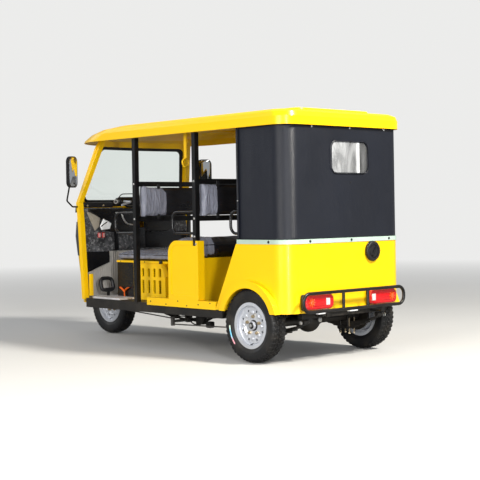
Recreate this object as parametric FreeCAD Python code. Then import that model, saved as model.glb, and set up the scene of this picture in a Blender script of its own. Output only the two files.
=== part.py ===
"""Three-wheeled passenger tricycle with a canopy cab, one STEP file for each sub-part.

Lengths are millimetres. Stations along the vehicle are measured ahead of the rear axle,
+X forward, +Y to the left, +Z up from the ground. keep() moves every piece so that the
origin lies under the middle of the overall length.
"""
import FreeCAD, Part
import math
import os

V = FreeCAD.Vector
UP = V(0, 0, 1)
ALONG = V(1, 0, 0)
ACROSS = V(0, 1, 0)

# Clearance between pieces that sit on each other, and a reach that passes right through
FIT = 0.3
THROUGH = 1500.0

# Wheels
WHEELBASE = 2590.0
TRACK_HALF = 593.0
TYRE_R = 275.0
TYRE_W = 135.0
BEAD_R = 152.4
BEAD_H = 6.0
FLANGE_H = 18.6
FLANGE_R = BEAD_R + FLANGE_H
RIM_W = 108.0
RIM_WALL = 4.0
RIM_WELL = 22.0
WELL_SHARE = 0.35
DISC_T = 6.0
DISC_IN = 10.0
DISC_RISE = 12.0
DISC_LEAN = 2.0
DISC_STEP_R = 84.0
DISC_RING_R = 100.0
HOLE_COUNT = 8
HOLE_R = 9.0
HOLE_CIRCLE_R = 112.0
HUB_R = 34.0
HUB_OUT = 42.0
STUB_R = 15.0
DRUM_R = 125.0
DRUM_W = 54.0
DRUM_IN = 14.0
DRUM_WALL = 8.0
DRUM_WEB_R = 73.0

# Rear axle
AXLE_TUBE_R = 34.0
DIFF_R = 94.0
DIFF_Y = 40.0
DIFF_HALF_W = 70.0
DIFF_NECK_R = 60.0
DIFF_NECK = 70.0
BACKPLATE_GAP = 17.0
BACKPLATE_T = 8.0

# Tub at the rear, from its rear face to the slanted edge behind the doorway
BODY_HALF_W = 638.0
BODY_REAR_X = -380.0
BODY_CORNER_R = 130.0
BODY_WALL = 18.0
BODY_TOP_Z = 874.0
BODY_EDGE_TOP_X = 150.0
BODY_EDGE_LOW_X = 395.0
ARCH_RISE = 15.0
ARCH_GAP = 25.0
ARCH_R = TYRE_R + ARCH_GAP
FLARE_T = 15.0
FLARE_OUT = 46.0
FLARE_LIP = 38.0
FLARE_LIP_T = 12.0
WELL_GAP = 37.5
WELL_T = 8.0
WELL_Y = TRACK_HALF - TYRE_W / 2 - WELL_GAP

# Chassis: floor, rails and cross members
FLOOR_Z = 373.0
FLOOR_T = 12.0
MAT_T = 14.0
MAT_R = 90.0
MAT_FRONT_GAP = 5.0
MAT_SIDE_GAP = 22.5
RAIL_Y = 300.0
RAIL_W = 50.0
RAIL_H = 45.0
SIDE_RAIL_W = 45.0
SIDE_RAIL_H = 66.0
SIDE_RAIL_INSET = 11.5
SIDE_RAIL_OUT = BODY_HALF_W - SIDE_RAIL_INSET
CROSS_W = 45.0
FRAME_FRONT_X = WHEELBASE - 460.0
FRAME_REAR_X = BODY_REAR_X + 28.0
SIDE_RAIL_REAR_X = 330.0

# Leaf springs, slung under the axle
SPRING_Y = 400.0
SPRING_W = 58.0
LEAF_T = 9.0
LEAVES = 5
LEAF_STEP = 0.17
LEAF_LAP = 0.4
SPRING_FRONT_X = 400.0
SPRING_REAR_X = FRAME_REAR_X + 22.0
EYE_R = 17.0
EYE_Z = 306.0
SPRING_SEAT_T = 8.0
SPRING_SEAT_HALF = 24.0
SPRING_SEAT_GAP = 1.6
HANGER_SIDE = 6.0
HANGER_FRONT = 22.0
HANGER_BACK = 40.0
HANGER_GAP = 4.0
UBOLT_R = 6.0
UBOLT_TAIL = 18.0
CLAMP_T = 10.0
CLAMP_SIDE = 20.0

# Brake shaft and rods under the floor
BRAKE_SHAFT_X = 1150.0
BRAKE_SHAFT_Z = 226.0
BRAKE_SHAFT_R = 12.0
BRAKE_ROD_R = 5.0
BRAKE_ROD_Y = 450.0
BRAKE_FRONT_X = 2040.0
BRAKE_FRONT_Z = 302.0

# Steering: raked axis through two stations on the centre plane
STEER_TOP_X = WHEELBASE - 420.0
STEER_TOP_Z = 1150.0
FORK_OFFSET = 50.0
STEER_TOP = V(STEER_TOP_X, 0, STEER_TOP_Z)
STEER_LOW = V(WHEELBASE - FORK_OFFSET, 0, TYRE_R)
STEM_R = 17.0
STEM_GAP = 1.0
HEAD_WALL = 13.0
HEAD_LOW_Z = 630.0
HEAD_TOP_Z = 960.0
STRUT_R = 19.0
INNER_STRUT_R = 16.0
INNER_STRUT_Y = 180.0

# Front fork and mudguard
LEG_Y = 101.0
LEG_R = 18.0
SLIDER_R = 22.0
SLIDER_LOW = 26.0
SLIDER_UP = 190.0
LEG_LAP = 40.0
LEG_TOP = 30.0
BOSS_R = 20.0
BOSS_OUT = 30.0
YOKE_UP = 352.0
YOKE_T = 36.0
YOKE_HALF_W = 128.0
YOKE_LENGTH = 110.0
YOKE_CORNER_R = 24.0
MUDGUARD_GAP = 22.0
MUDGUARD_R = TYRE_R + MUDGUARD_GAP
MUDGUARD_T = 4.0
MUDGUARD_HALF_W = 70.0
MUDGUARD_LIP = 14.0
MUDGUARD_FRONT_DEG = -4.0
MUDGUARD_BACK_DEG = 128.0
STAY_R = 9.0

# Handlebar
BAR_R = 11.0
BAR_BEND_R = 34.0
BAR_RISE = 24.0
CLAMP_R = 30.0
CLAMP_H = 40.0
GRIP_X = STEER_TOP_X - 170.0
GRIP_Y = 380.0
GRIP_Z = STEER_TOP_Z + 70.0
GRIP_R = 17.0
GRIP_LENGTH = 120.0
SWITCH_R = 24.0
SWITCH_W = 34.0
BAR_INNER_SHARE = 0.4
LEVER_R = 6.0
LEVER_REACH = 38.0

# Strip, curtain and rear window
TRIM_PROUD = 6.0
TRIM_H = 32.0
CURTAIN_T = 8.0
CURTAIN_FRONT_X = 135.0
WINDOW_Y = -45.0
WINDOW_W = 400.0
WINDOW_LOW_Z = 1386.0
WINDOW_H = 239.0
WINDOW_R = 55.0
FILM_T = 3.0

# Roof tray
RIM_Z = 1735.0
ROOF_HALF_W = BODY_HALF_W + 18.0
ROOF_REAR_X = BODY_REAR_X - 22.0
ROOF_CORNER_R = 130.0
ROOF_WALL = 9.0
PLATEAU_INSET = 236.0
PLATEAU_HALF_W = ROOF_HALF_W - PLATEAU_INSET
PLATEAU_FRONT_X = WHEELBASE - 800.0
PLATEAU_REAR_X = ROOF_REAR_X + 102.0
PLATEAU_H = 135.0
PLATEAU_STEP = 18.0
PLATEAU_R = 90.0

# Posts and the bows above them
POST = 40.0
POST_INSET = 28.0
POST_Y = BODY_HALF_W - POST_INSET
POST_IN = POST_Y - POST / 2
B_POST_X = 1410.0
C_POST_X = 640.0
D_POST_X = 100.0
BOW_H = 26.0
BOW_OUT = 2.0
BOW_RISE = 55.0
BOW_SHOULDER = 48.0
RIB_W = 24.0
RIB_Y = 230.0

# Windscreen, bowed forward in the middle, and the pillars beside it
SCREEN_LOW_Z = 1215.0
SCREEN_ROOF_GAP = 30.0
SCREEN_TOP_Z = RIM_Z - SCREEN_ROOF_GAP
SCREEN_LOW_X = FRAME_FRONT_X + 132.0
SCREEN_LEAN = 0.35
SCREEN_BOW = 70.0
GLASS_T = 5.0
GASKET_T = 16.0
GASKET_W = 24.0
SCREEN_CORNER_R = 60.0
FRAME_BAR = 34.0
FRAME_BAR_LAP = 10.0
PILLAR_X = 46.0
PILLAR_Y = 44.0
PILLAR_MIDDLE_Y = BODY_HALF_W - 38.0
PILLAR_FOOT_X = FRAME_FRONT_X + 48.0
PILLAR_WAIST_X = FRAME_FRONT_X + 94.0
PILLAR_WAIST_Z = 1020.0
SCREEN_LOW_Y = PILLAR_MIDDLE_Y - 28.0
SCREEN_NARROWING = 108.0

# Nose shell
NOSE_INSET = 32.0
NOSE_HALF_W = BODY_HALF_W - NOSE_INSET
NOSE_WALL = 10.0
NOSE_BACK_X = FRAME_FRONT_X - 180.0
NOSE_LOW_Z = 340.0
NOSE_MIDDLE_Z = 920.0
NOSE_TOP_Z = 1180.0
WHEEL_BAY_Y = 330.0
WHEEL_BAY_TOP = 655.0
WHEEL_BAY_R = 150.0
BAND_LOW_Z = 750.0
BAND_TOP_Z = 1046.0
BAND_PROUD = 5.0
BAND_BACK_X = FRAME_FRONT_X + 132.0
SCUTTLE_H = 50.0
SCUTTLE_PROUD = 24.0
LAMP_Y = NOSE_HALF_W - 290.0
LAMP_Z = 900.0
LAMP_R = 78.0
LAMP_PROUD = 8.0
LAMP_DEPTH = 120.0
LAMP_EDGE_R = 14.0

# Driver's foot space: dashboard, cowls and lining
DASH_X = FRAME_FRONT_X + 66.0
DASH_T = 30.0
DASH_LEAN = 36.0
DASH_LOW_Z = 782.0
DASH_BEND_Z = 975.0
DASH_TOP_Z = 1168.0
DASH_GAP_Y = 150.0
DASH_GAP_Z = 870.0
DASH_HALF_W = PILLAR_MIDDLE_Y - PILLAR_Y / 2 - 6.0
SHELF_REACH = 148.0
SHELF_RISE = 150.0
SHELF_T = 14.0
COWL_T = 8.0
COWL_IN_Y = 330.0
COWL_OUT_DROP = 182.0
COWL_IN_DROP = 97.0
LINING_T = 8.0
LINING_RIB = 24.0
STRUT_GAP_Y = 210.0
STRUT_GAP_H = 250.0
METER_X = DASH_X + 66.0
METER_HALF_W = 150.0
METER_LENGTH = 46.0
METER_H = 84.0

# Driver's seat
DRIVER_CUSHION_REAR_X = 1172.0
DRIVER_CUSHION_LENGTH = 790.0
DRIVER_CUSHION_HALF_W = 452.0
DRIVER_CUSHION_LOW_Z = 712.0
CUSHION_H = 90.0
CUSHION_R = 34.0
SEAT_PAN_T = 16.0
SEAT_PAN_BACK = 20.0
SEAT_PAN_FRONT = 64.0
SEAT_PAN_SIDE = 10.0
SEAT_BOX_REAR_X = 1240.0
SEAT_BOX_LENGTH = 432.0
SEAT_BOX_HALF_W = 450.0
SEAT_BOX_WALL = 14.0
SLOT_COLUMNS = 4
SLOT_INSET = 56.0
SLOT_STEP = 77.0
SLOT_W = 32.0
SLOT_HEIGHTS = [112.0, 70.0]
SLOT_GAP = 27.0
SLOT_R = 8.0
FOOT_ROOM = 174.0
BATTERY_FRONT_X = FRAME_FRONT_X - FOOT_ROOM
BATTERY_HALF_W = SEAT_BOX_HALF_W - 28.0
BATTERY_R = 20.0

# Benches behind the driver
BENCH_REAR_X = 690.0
BENCH_LENGTH = 370.0
BENCH_SIDE_GAP = 14.0
BENCH_LOW_Z = 752.0
BENCH_H = 138.0
BENCH_BOX_BACK = 10.0
BENCH_BOX_FRONT = 50.0
TUNNEL_HALF_W = 180.0
TUNNEL_H = 120.0
REAR_BENCH_REAR_X = BODY_REAR_X + 95.0
REAR_BENCH_LENGTH = 413.0
REAR_BENCH_SIDE_GAP = 50.0
REAR_BENCH_HALF_W = BODY_HALF_W - BODY_WALL - REAR_BENCH_SIDE_GAP
REAR_BENCH_LOW_Z = 640.0
REAR_BENCH_H = 130.0
REAR_BENCH_R = 30.0
REAR_BOX_INSET = 20.0
REAR_BACK_GAP = 12.0
REAR_BACK_T = 90.0
REAR_BACK_H = 550.0
REAR_BACK_SIDE_GAP = 60.0

# Backrests and armrest loops at the posts
BAR_TOP_Z = 1335.0
BAR_LOW_Z = 1046.0
BAR_H = 40.0
PAD_T = 55.0
PAD_R = 12.0
PAD_SIDE_GAP = 6.0
LOOP_R = 11.0
LOOP_BEND_R = 60.0
LOOP_Y = POST_Y - 10.0
LOOP_LENGTH = 285.0
REAR_LOOP_LENGTH = 127.0
LOOP_LOW_Z = 950.0
LOOP_H = 168.0

# Side panels and sills
PANEL_REAR_X = 592.0
PANEL_LENGTH = 370.0
PANEL_T = 65.0
PANEL_OUT = BODY_HALF_W + 1.0
PANEL_IN = PANEL_OUT - PANEL_T
PANEL_LOW_Z = 430.0
PANEL_H = 463.0
PANEL_TOP_Z = PANEL_LOW_Z + PANEL_H
PANEL_R = 105.0
PANEL_EDGE_R = 8.0
RECESS_INSET = 34.0
RECESS_DEPTH = 5.0
RECESS_R = 20.0
POST_SEAT_DEPTH = 40.0
BENCH_HALF_W = PANEL_IN - BENCH_SIDE_GAP
SILL_FRONT_X = 1250.0
SILL_LOW_Z = FLOOR_Z - 4.0
SILL_T = 10.0

# Engine and exhaust
ENGINE_X = 1300.0
ENGINE_LENGTH = 310.0
ENGINE_HALF_W = 190.0
ENGINE_LOW_Z = 262.0
ENGINE_H = 378.0
ENGINE_ROOM = 20.0
ENGINE_CHAMFER = 30.0
SHAFT_R = 21.0
SHAFT_FLANGE_R = 40.0
SHAFT_YOKE_R = 30.0
SHAFT_FRONT_Z = 330.0
SILENCER_X = 560.0
SILENCER_LENGTH = 360.0
SILENCER_R = 48.0
SILENCER_Y = -200.0
SILENCER_Z = 274.0
PIPE_R = 16.0
PIPE_SHIFT = 60.0

# Rear guard, tail lamps and filler cap
GUARD_TUBE_R = 12.5
GUARD_X = BODY_REAR_X - 80.0
GUARD_HALF_W = 560.0
GUARD_LOW_Z = 386.0
GUARD_H = 132.0
GUARD_BEND_R = 60.0
GUARD_POST_Y = 133.0
GUARD_STRAP_W = 40.0
GUARD_STRAP_T = 8.0
GUARD_STRAP_DROP = 33.0
TAIL_LAMP_T = 55.0
TAIL_LAMP_IN_Y = 200.0
TAIL_LAMP_W = 300.0
TAIL_LAMP_LOW_Z = 393.0
TAIL_LAMP_H = 116.0
TAIL_LAMP_R = 34.0
CAP_Y = -274.0
CAP_Z = 798.0
CAP_R = 73.0
CAP_T = 26.0
CAP_EDGE_R = 8.0

# Mirrors
MIRROR_OUT = 112.0
MIRROR_Y = BODY_HALF_W + MIRROR_OUT
MIRROR_X = SCREEN_LOW_X - 122.0
MIRROR_Z = 1480.0
MIRROR_H = 270.0
MIRROR_W = 142.0
MIRROR_T = 32.0
MIRROR_CORNER_R = 48.0
MIRROR_EDGE_R = 9.0
MIRROR_TOE_DEG = 25.0
STEM_ROD_R = 7.0
STEM_BEND_R = 26.0
STEM_FOOT_Z = 1180.0

# Hand straps and foot controls
STRAP_X = 855.0
STRAP_IN = 80.0
STRAP_W = 34.0
STRAP_T = 5.0
RING_R = 33.0
RING_ROD_R = 6.0
RING_Z = 1510.0
PEDAL_X = BATTERY_FRONT_X + 104.0
PEDAL_Y = 372.0
PEDAL_W = 136.0
PEDAL_LOW = 40.0
PEDAL_H = 110.0
PEDAL_ROD_R = 10.0
PEDAL_BEND_R = 44.0
TREAD_X = BATTERY_FRONT_X + 42.0
TREAD_Y = 306.0
TREAD_W = 74.0
TREAD_T = 12.0

REAR_END_X = GUARD_X - GUARD_TUBE_R
FRONT_END_X = WHEELBASE + MUDGUARD_R + MUDGUARD_T
MIDDLE_X = (REAR_END_X + FRONT_END_X) / 2

# Steering axis direction, and the wheel centres
STEER_UP = STEER_TOP.sub(STEER_LOW).normalize()
STEER_FORWARD = ACROSS.cross(STEER_UP).normalize()
FRONT_AXLE = V(WHEELBASE, 0, TYRE_R)
AXLE_Z = TYRE_R
FLOOR_TOP_Z = FLOOR_Z + FLOOR_T
MAT_TOP_Z = FLOOR_TOP_Z + MAT_T

# Roof levels: height above the rim, inset, end of the straight side behind the front axle,
# front radius less the half width, half width less the corner radius
ROOF_LEVELS = [
    (0.0, 0.0, 692.0, 64.0, 76.0),
    (17.0, 0.0, 704.0, 64.0, 76.0),
    (61.0, 0.0, 802.0, 64.0, 96.0),
    (95.0, 10.0, 940.0, 74.0, 106.0),
    (113.0, 42.0, 1116.0, 86.0, 114.0),
]

# Tyre from sidewall to crown: inset from its half width, drop from its radius, rounding of the corner
TYRE_SHOULDER = [
    (2.0, 76.0, 14.0),
    (0.0, 44.0, 30.0),
    (11.0, 9.0, 10.0),
    (34.0, 0.0, 12.0),
]

# Nose levels: height, end of the straight side ahead of the floor's front edge,
# front radius less the half width, half width less the corner radius
NOSE_LEVELS = [
    (NOSE_LOW_Z, -48.0, 394.0, 226.0),
    (BAND_LOW_Z, 24.0, 394.0, 226.0),
    (NOSE_MIDDLE_Z, 54.0, 394.0, 226.0),
    (BAND_TOP_Z, 36.0, 394.0, 226.0),
    (NOSE_TOP_Z, 82.0, 1794.0, 456.0),
]


def keep(name, shape):
    """Write one sub-part, moved to the frame's origin."""
    moved = shape.copy()
    moved.translate(V(-MIDDLE_X, 0, 0))
    if moved.ShapeType == "Compound" and len(moved.Solids) == 1:
        moved = moved.Solids[0]
    moved.exportStep(os.path.join("parts", name + ".step"))
    volume = sum(solid.Volume for solid in moved.Solids)
    print(f"{name:24s} solids {len(moved.Solids):3d}  litres {volume / 1e6:8.3f}  valid {moved.isValid()}")


def around(middle, half):
    """Range of one axis, as wide on both sides of its middle."""
    return middle - half, middle + half


def block(x_range, y_range, z_range):
    """Plain box between two stations on each axis."""
    size = [high - low for low, high in (x_range, y_range, z_range)]
    return Part.makeBox(size[0], size[1], size[2], V(x_range[0], y_range[0], z_range[0]))


def mirrored(shape):
    """The same shape on the other side of the centre plane."""
    return shape.mirror(V(0, 0, 0), ACROSS)


def both_sides(shape):
    """The left-hand shape with its mirror image on the right."""
    return Part.makeCompound([shape, mirrored(shape)])


def fuse(shapes):
    """Union with the seams between flush faces removed."""
    return shapes[0].fuse(shapes[1:]).removeSplitter()


def cross_round(radius, y_range, x, z):
    """Round bar across the vehicle."""
    return Part.makeCylinder(radius, y_range[1] - y_range[0], V(x, y_range[0], z), ACROSS)


def corner_arc(before, here, after, radius):
    """Tangent arc at a corner: its start, middle and end."""
    to_before = before.sub(here).normalize()
    to_after = after.sub(here).normalize()
    half = to_before.getAngle(to_after) / 2
    reach = radius / math.tan(half)
    inward = to_before.add(to_after).normalize()
    middle = here.add(inward * (radius / math.sin(half) - radius))
    return here.add(to_before * reach), middle, here.add(to_after * reach)


def rounded_wire(corners, radii):
    """Closed wire of straight runs and tangent arcs, radius 0 for a sharp corner."""
    count = len(corners)
    arcs = []
    for i in range(count):
        if radii[i] > 0:
            arcs.append(corner_arc(corners[i - 1], corners[i], corners[(i + 1) % count], radii[i]))
        else:
            arcs.append((corners[i], None, corners[i]))
    edges = []
    for i in range(count):
        start, middle, end = arcs[i]
        last = arcs[i - 1][2]
        if last.distanceToPoint(start) > 1e-4:
            edges.append(Part.LineSegment(last, start).toShape())
        if middle is not None:
            edges.append(Part.Arc(start, middle, end).toShape())
    return Part.Wire(edges)


def side_profile(corners, radii, y_range):
    """Outline given as (x, z) corners, pushed across the vehicle."""
    wire = rounded_wire([V(x, y_range[0], z) for x, z in corners], radii)
    return Part.Face(wire).extrude(V(0, y_range[1] - y_range[0], 0))


def front_profile(corners, radii, x_range):
    """Outline given as (y, z) corners, pushed along the vehicle."""
    wire = rounded_wire([V(x_range[0], y, z) for y, z in corners], radii)
    return Part.Face(wire).extrude(V(x_range[1] - x_range[0], 0, 0))


def plan_profile(corners, radii, z_range):
    """Outline given as (x, y) corners, pushed upwards."""
    wire = rounded_wire([V(x, y, z_range[0]) for x, y in corners], radii)
    return Part.Face(wire).extrude(V(0, 0, z_range[1] - z_range[0]))


def rectangle(u_range, v_range):
    """Four corners of a rectangle, anticlockwise."""
    u_low, u_high = u_range
    v_low, v_high = v_range
    return [(u_low, v_low), (u_high, v_low), (u_high, v_high), (u_low, v_high)]


def path_wire(points, bend):
    """Open path of straight runs with one bend radius."""
    edges = []
    last = points[0]
    for i in range(1, len(points) - 1):
        start, middle, end = corner_arc(points[i - 1], points[i], points[i + 1], bend)
        edges.append(Part.LineSegment(last, start).toShape())
        edges.append(Part.Arc(start, middle, end).toShape())
        last = end
    edges.append(Part.LineSegment(last, points[-1]).toShape())
    return Part.Wire(edges)


def tube(points, radius, bend):
    """Round bar bent along a path."""
    points = [V(*point) for point in points]
    ring = Part.Wire([Part.Circle(points[0], points[1].sub(points[0]), radius).toShape()])
    return path_wire(points, bend).makePipeShell([ring], True, False)


def rod(start, end, radius):
    """Straight round bar between two points."""
    run = end.sub(start)
    return Part.makeCylinder(radius, run.Length, start, run)


def closed_tube(corners, radius, bend):
    """Round bar bent to a closed loop."""
    corners = [V(*corner) for corner in corners]
    loop = rounded_wire(corners, [bend] * len(corners))
    first = loop.OrderedEdges[0]
    start = first.valueAt(first.FirstParameter)
    along = first.tangentAt(first.FirstParameter)
    ring = Part.Wire([Part.Circle(start, along, radius).toShape()])
    return loop.makePipeShell([ring], True, False)


def turned(profile, centre, radii):
    """Solid of revolution about the wheel's axle line, from (y, r) corners."""
    corners = [V(centre.x + r, centre.y + y, centre.z) for y, r in profile]
    return Part.Face(rounded_wire(corners, radii)).revolve(centre, ACROSS, 360)


def swept_front(side_x, half_w, front_r, corner_r, z):
    """Rounded front whose sides end at side_x: both side points and its three arcs."""
    run = math.sqrt((front_r - corner_r) ** 2 - (half_w - corner_r) ** 2)
    front_centre = V(side_x - run, 0, z)
    corner = V(side_x, half_w - corner_r, z)
    side = V(side_x, half_w, z)
    outward = corner.sub(front_centre).normalize()
    meet = front_centre.add(outward * front_r)
    corner_middle = corner.add(outward.add(ACROSS).normalize() * corner_r)

    def flip(point):
        return V(point.x, -point.y, point.z)

    left_corner = Part.Arc(side, corner_middle, meet).toShape()
    front = Part.Arc(meet, V(front_centre.x + front_r, 0, z), flip(meet)).toShape()
    right_corner = Part.Arc(flip(meet), flip(corner_middle), flip(side)).toShape()
    return side, flip(side), [left_corner, front, right_corner]


def tray_section(row, inset):
    """One level of the roof tray, from its table row, less a wall's inset."""
    rise, narrower, behind, front_more, corner_less = row
    z = RIM_Z + rise
    half_w = ROOF_HALF_W - narrower
    left, right, front = swept_front(WHEELBASE - behind, half_w - inset, half_w + front_more - inset,
                                     half_w - corner_less - inset, z)
    rear_x = ROOF_REAR_X + narrower + inset
    rear_left = V(rear_x, half_w - inset, z)
    rear_right = V(rear_x, -half_w + inset, z)
    a, a_mid, a_end = corner_arc(right, rear_right, rear_left, ROOF_CORNER_R - inset)
    b, b_mid, b_end = corner_arc(rear_right, rear_left, left, ROOF_CORNER_R - inset)
    edges = front + [
        Part.LineSegment(right, a).toShape(),
        Part.Arc(a, a_mid, a_end).toShape(),
        Part.LineSegment(a_end, b).toShape(),
        Part.Arc(b, b_mid, b_end).toShape(),
        Part.LineSegment(b_end, left).toShape(),
    ]
    return Part.Wire(edges)


def roof_cavity(clearance):
    """Space under the roof's wall, less a clearance."""
    wall = ROOF_WALL + clearance
    rows = [(row[0] - wall,) + row[1:] for row in ROOF_LEVELS]
    return Part.makeLoft([tray_section(row, wall) for row in rows], True, True)


def plateau(inset):
    """Raised middle of the roof, tapering upwards, less a wall's inset."""
    wires = []
    for rise, taper in ((ROOF_LEVELS[-2][0], 0.0), (PLATEAU_H, PLATEAU_STEP)):
        shrink = inset + taper
        corners = rectangle((PLATEAU_REAR_X + shrink, PLATEAU_FRONT_X - shrink - taper),
                            (shrink - PLATEAU_HALF_W, PLATEAU_HALF_W - shrink))
        z = RIM_Z + rise - inset
        wires.append(rounded_wire([V(x, y, z) for x, y in corners], [PLATEAU_R - shrink] * 4))
    return Part.makeLoft(wires, True, True)


def roof_shell():
    """Level tray with a sloping front visor, open below, its middle raised one step."""
    outer = Part.makeLoft([tray_section(row, 0) for row in ROOF_LEVELS], True, True)
    return outer.fuse(plateau(0)).cut(roof_cavity(0)).cut(plateau(ROOF_WALL)).removeSplitter()


def roof_bows():
    """Arched cross bows, side rails and ribs that carry the roof on the posts."""
    top = RIM_Z + ROOF_LEVELS[-1][0] - ROOF_WALL - FIT
    out = POST_Y + BOW_OUT
    knee_z = RIM_Z + BOW_RISE
    inner = out - POST
    outer_half = [(out, RIM_Z), (out, knee_z), (out - BOW_SHOULDER, top)]
    inner_half = [(inner - BOW_H, top - BOW_H), (inner, knee_z - BOW_H / 2), (inner, RIM_Z)]
    left = outer_half[::-1] + [(y, z) for y, z in inner_half[::-1]]
    right = [(-y, z) for y, z in left[::-1]]
    pieces = []
    for x in (D_POST_X, C_POST_X, B_POST_X):
        pieces.append(front_profile(left + right, [0] * len(left + right), around(x, POST / 2)))
    x_range = (D_POST_X - POST / 2, B_POST_X + POST / 2)
    rail = block(x_range, around(POST_Y, POST / 2), (RIM_Z, RIM_Z + BOW_H))
    rib = block(x_range, around(RIB_Y, RIB_W / 2), (top - BOW_H, top))
    return fuse(pieces + [rail, mirrored(rail), rib, mirrored(rib)])


def posts():
    """Three pairs of square posts: behind the driver, behind the bench and at the curtain."""
    pieces = []
    # Station along the vehicle, height of the foot
    for x, low_z in ((B_POST_X, FLOOR_Z), (C_POST_X, PANEL_TOP_Z - POST_SEAT_DEPTH + FIT),
                     (D_POST_X, BODY_TOP_Z + TRIM_H)):
        left = block(around(x, POST / 2), around(POST_Y, POST / 2), (low_z, RIM_Z - FIT))
        pieces += [left, mirrored(left)]
    return Part.makeCompound(pieces)


def screen_x(z):
    """Station of the windscreen's edge at a height."""
    return SCREEN_LOW_X - SCREEN_LEAN * (z - SCREEN_LOW_Z)


def screen_y(z):
    """Half width of the windscreen at a height."""
    return SCREEN_LOW_Y - SCREEN_NARROWING * (z - SCREEN_LOW_Z) / (SCREEN_TOP_Z - SCREEN_LOW_Z)


def screen_band(thickness, low_z, top_z):
    """Bowed sheet in the windscreen's slope, between two heights."""
    wires = []
    half = thickness / 2
    for z in (low_z, top_z):
        x = screen_x(z)
        y = screen_y(z) + SCREEN_CORNER_R
        outer = Part.Arc(V(x + half, y, z), V(x + SCREEN_BOW + half, 0, z), V(x + half, -y, z)).toShape()
        inner = Part.Arc(V(x - half, -y, z), V(x + SCREEN_BOW - half, 0, z), V(x - half, y, z)).toShape()
        wires.append(Part.Wire([
            outer,
            Part.LineSegment(V(x + half, -y, z), V(x - half, -y, z)).toShape(),
            inner,
            Part.LineSegment(V(x - half, y, z), V(x + half, y, z)).toShape(),
        ]))
    return Part.makeLoft(wires, True, True)


def screen_prism(inset, radius):
    """Rounded trapezoid of the windscreen seen from ahead, pushed along the vehicle."""
    low_y = SCREEN_LOW_Y - inset
    top_y = screen_y(SCREEN_TOP_Z) - inset
    corners = [(-low_y, SCREEN_LOW_Z + inset), (low_y, SCREEN_LOW_Z + inset),
               (top_y, SCREEN_TOP_Z - inset), (-top_y, SCREEN_TOP_Z - inset)]
    return front_profile(corners, [radius] * 4, around(SCREEN_LOW_X, THROUGH))


def windscreen():
    """Gasket ring and the glass inside it."""
    z_range = (SCREEN_LOW_Z - GASKET_W, SCREEN_TOP_Z + GASKET_W)
    inner_r = SCREEN_CORNER_R - GASKET_W / 2
    gasket = screen_band(GASKET_T, *z_range).common(screen_prism(0, SCREEN_CORNER_R))
    gasket = gasket.cut(screen_prism(GASKET_W, inner_r))
    glass = screen_band(GLASS_T, *z_range).common(screen_prism(GASKET_W + FIT, inner_r))
    return gasket, glass


def pillar_stations():
    """Heights and middles of the left pillar: foot, waist, windscreen's foot and head."""
    head_z = RIM_Z + 2 * SCREEN_ROOF_GAP
    return [
        (FLOOR_Z, PILLAR_FOOT_X, PILLAR_MIDDLE_Y),
        (PILLAR_WAIST_Z, PILLAR_WAIST_X, PILLAR_MIDDLE_Y),
        (SCREEN_LOW_Z, SCREEN_LOW_X - GASKET_T, PILLAR_MIDDLE_Y),
        (head_z, screen_x(head_z) - GASKET_T, screen_y(head_z) + PILLAR_MIDDLE_Y - SCREEN_LOW_Y),
    ]


def windscreen_frame():
    """A pillars with the bars above and below the windscreen."""
    wires = []
    for z, x, y in pillar_stations():
        corners = rectangle(around(x, PILLAR_X / 2), around(y, PILLAR_Y / 2))
        wires.append(Part.makePolygon([V(a, b, z) for a, b in corners + corners[:1]]))
    left = Part.makeLoft(wires, True, True)
    bars = screen_band(GASKET_T + FRAME_BAR_LAP, SCREEN_LOW_Z - FRAME_BAR, RIM_Z + FRAME_BAR)
    bars = bars.common(screen_prism(-FRAME_BAR - GASKET_T, SCREEN_CORNER_R + FRAME_BAR))
    bars = bars.cut(screen_prism(-FIT, SCREEN_CORNER_R + FIT))
    frame = fuse([left, mirrored(left), bars])
    under_rim = block((0, WHEELBASE), around(0, THROUGH), (0, RIM_Z - FIT))
    return fuse([frame.common(under_rim), frame.common(roof_cavity(FIT))])


def behind_pillars():
    """Everything behind the front faces of the A pillars, seen from the side."""
    edge = [(x + PILLAR_X / 2 + FIT, z) for z, x, y in pillar_stations()[:3]]
    foot_z = NOSE_LOW_Z - PILLAR_X
    corners = [(0.0, foot_z), (edge[0][0], foot_z)] + edge + [(0.0, edge[-1][1])]
    return side_profile(corners, [0] * len(corners), around(0, THROUGH))


def nose_section(row, inset, back_x):
    """One level of the nose shell, from its table row, less a wall's inset."""
    z, ahead, front_more, corner_less = row
    half_w = NOSE_HALF_W - inset
    left, right, front = swept_front(FRAME_FRONT_X + ahead, half_w, half_w + front_more,
                                     half_w - corner_less, z)
    back_left = V(back_x, left.y, z)
    back_right = V(back_x, right.y, z)
    edges = front + [
        Part.LineSegment(right, back_right).toShape(),
        Part.LineSegment(back_right, back_left).toShape(),
        Part.LineSegment(back_left, left).toShape(),
    ]
    return Part.Wire(edges)


def nose_loft(rows, inset, back_x):
    """Solid through levels of the nose, less a wall's inset."""
    return Part.makeLoft([nose_section(row, inset, back_x) for row in rows], True, True)


def nose_front(y):
    """Station of the nose's front arc, beside the centre plane, at its fullest level."""
    ahead, front_more, corner_less = next(row[1:] for row in NOSE_LEVELS if row[0] == NOSE_MIDDLE_Z)
    front_r = NOSE_HALF_W + front_more
    run = math.sqrt((front_more + corner_less) ** 2 - corner_less ** 2)
    return FRAME_FRONT_X + ahead - run + math.sqrt(front_r ** 2 - y ** 2)


def headlamp(sign, radius):
    """Round bar along a headlamp's axis."""
    front_x = nose_front(LAMP_Y - LAMP_R) + LAMP_PROUD
    start = V(front_x - LAMP_DEPTH, sign * LAMP_Y, LAMP_Z)
    return Part.makeCylinder(radius, LAMP_DEPTH, start, ALONG)


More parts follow.
